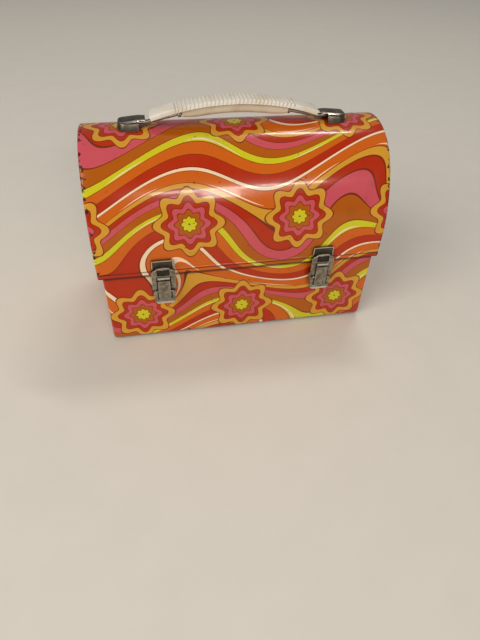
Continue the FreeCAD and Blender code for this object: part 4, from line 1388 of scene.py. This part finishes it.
def ear_crown(co):
    """Slopes the roof down from its ridge, and leaves the lower edge on the dome."""
    height = (co.z - dome_height(co.y)) / (ear_top - dome_height(co.y))
    return co - Vector((0, 0, ear_pitch * height * (co.y / ear_half) ** 2))


def on_flap_edge(co):
    return same(co.x, ear_inner) and co.z > ear_top - 2 * slack and abs(co.y) < flap_half + slack


def on_highlight_fold(co):
    """True along the two long folds between the roof and the walls, which are painted bright as a painted
    highlight.
    """
    return abs(co.y) > highlight_fold_y and highlight_fold_low < co.z < highlight_fold_high


print("ears stand", round((ear_top - dome_height(0)) / mm, 1), "mm above the dome")

# %% Ear caps
bpy.ops.object.select_all(action="DESELECT")
bpy.ops.mesh.primitive_cube_add(size=1, location=((ear_inner + ear_outer) / 2, 0, (ear_low + ear_top) / 2))
ear = bpy.context.active_object
ear.name = "ear_cap"
ear.scale = (ear_outer - ear_inner, 2 * ear_half, ear_top - ear_low)
bpy.ops.object.transform_apply(location=True, rotation=True, scale=True)
bpy.ops.object.mode_set(mode="EDIT")
for nose_y in (-ear_half, ear_half):
    pick(ear, "EDGE", lambda co: same(co.x, ear_outer) and same(co.y, nose_y))
    bpy.ops.mesh.bevel(offset=ear_nose_radius, segments=6, affect="EDGES", clamp_overlap=False)
pick(ear, "FACE", lambda co: same(co.x, ear_inner))
bpy.ops.mesh.delete(type="FACE")
pick(ear, "FACE", lambda co: same(co.z, ear_low))
bpy.ops.mesh.delete(type="ONLY_FACE")
pick(ear, "VERT", lambda co: same(co.z, ear_top))
move_picked(ear, ear_roof)
pick(ear, "VERT", lambda co: same(co.z, ear_low))
move_picked(ear, lambda co: Vector((co.x, co.y * ear_flare, dome_height(co.y * ear_flare))))
pick(ear, "EDGE", lambda co: co.z > ear_top - ear_nose_drop - slack)
bpy.ops.mesh.bevel(offset=ear_round, segments=3, affect="EDGES", clamp_overlap=False)
for side in (-1, 1):
    cut_across([(0, side * flap_half * share, 0) for share in (0.5, 1)], along_y)
pick(ear, "EDGE", on_flap_edge)
pull(-flap_reach, 0, -flap_drop)
move_all(ear, ear_crown)
face_outwards()
thicken(ear, tarnished_steel, plate_thickness, softness=0.2 * mm)
# The long folds get the bright nickel: a painted highlight.
tint_faces(ear, highlight_nickel, on_highlight_fold)

for side_name in ("left", "right"):
    cap = own_copy(ear, side_name)
    if side_name == "left":
        cap.data.transform(Matrix.Scale(-1, 4, along_x))
        cap.data.flip_normals()
    hand_over(cap, "lid", "handle_ear_" + side_name)
print("ear caps:", len(ear.data.polygons), "faces each")
bpy.data.objects.remove(ear)

# %% [markdown]
# ## Finishes for the packed pieces
# The small pressed and turned pieces already have their true shape, so they keep it and only get a finish.
# The record says which slot each node belongs to, and one table goes from slot to finish.

# %% Dress the packed pieces
slot_finish = {"printed_steel": end_print, "bare_steel": bare_steel, "wire_steel": wire_steel,
               "aged_nickel": dark_nickel, "tarnished_steel": tarnished_steel, "cream_plastic": cream_plastic,
               "tan_plastic": tan_plastic}
node_slot = {}
for part in frame["record"]["subparts"]:
    node_slot[part["node"]] = part["material_slot"]
for name, thing in frame["nodes"].items():
    for place in thing.material_slots:
        place.material = slot_finish[node_slot[name]]
print("dressed", len(frame["nodes"]), "packed pieces")
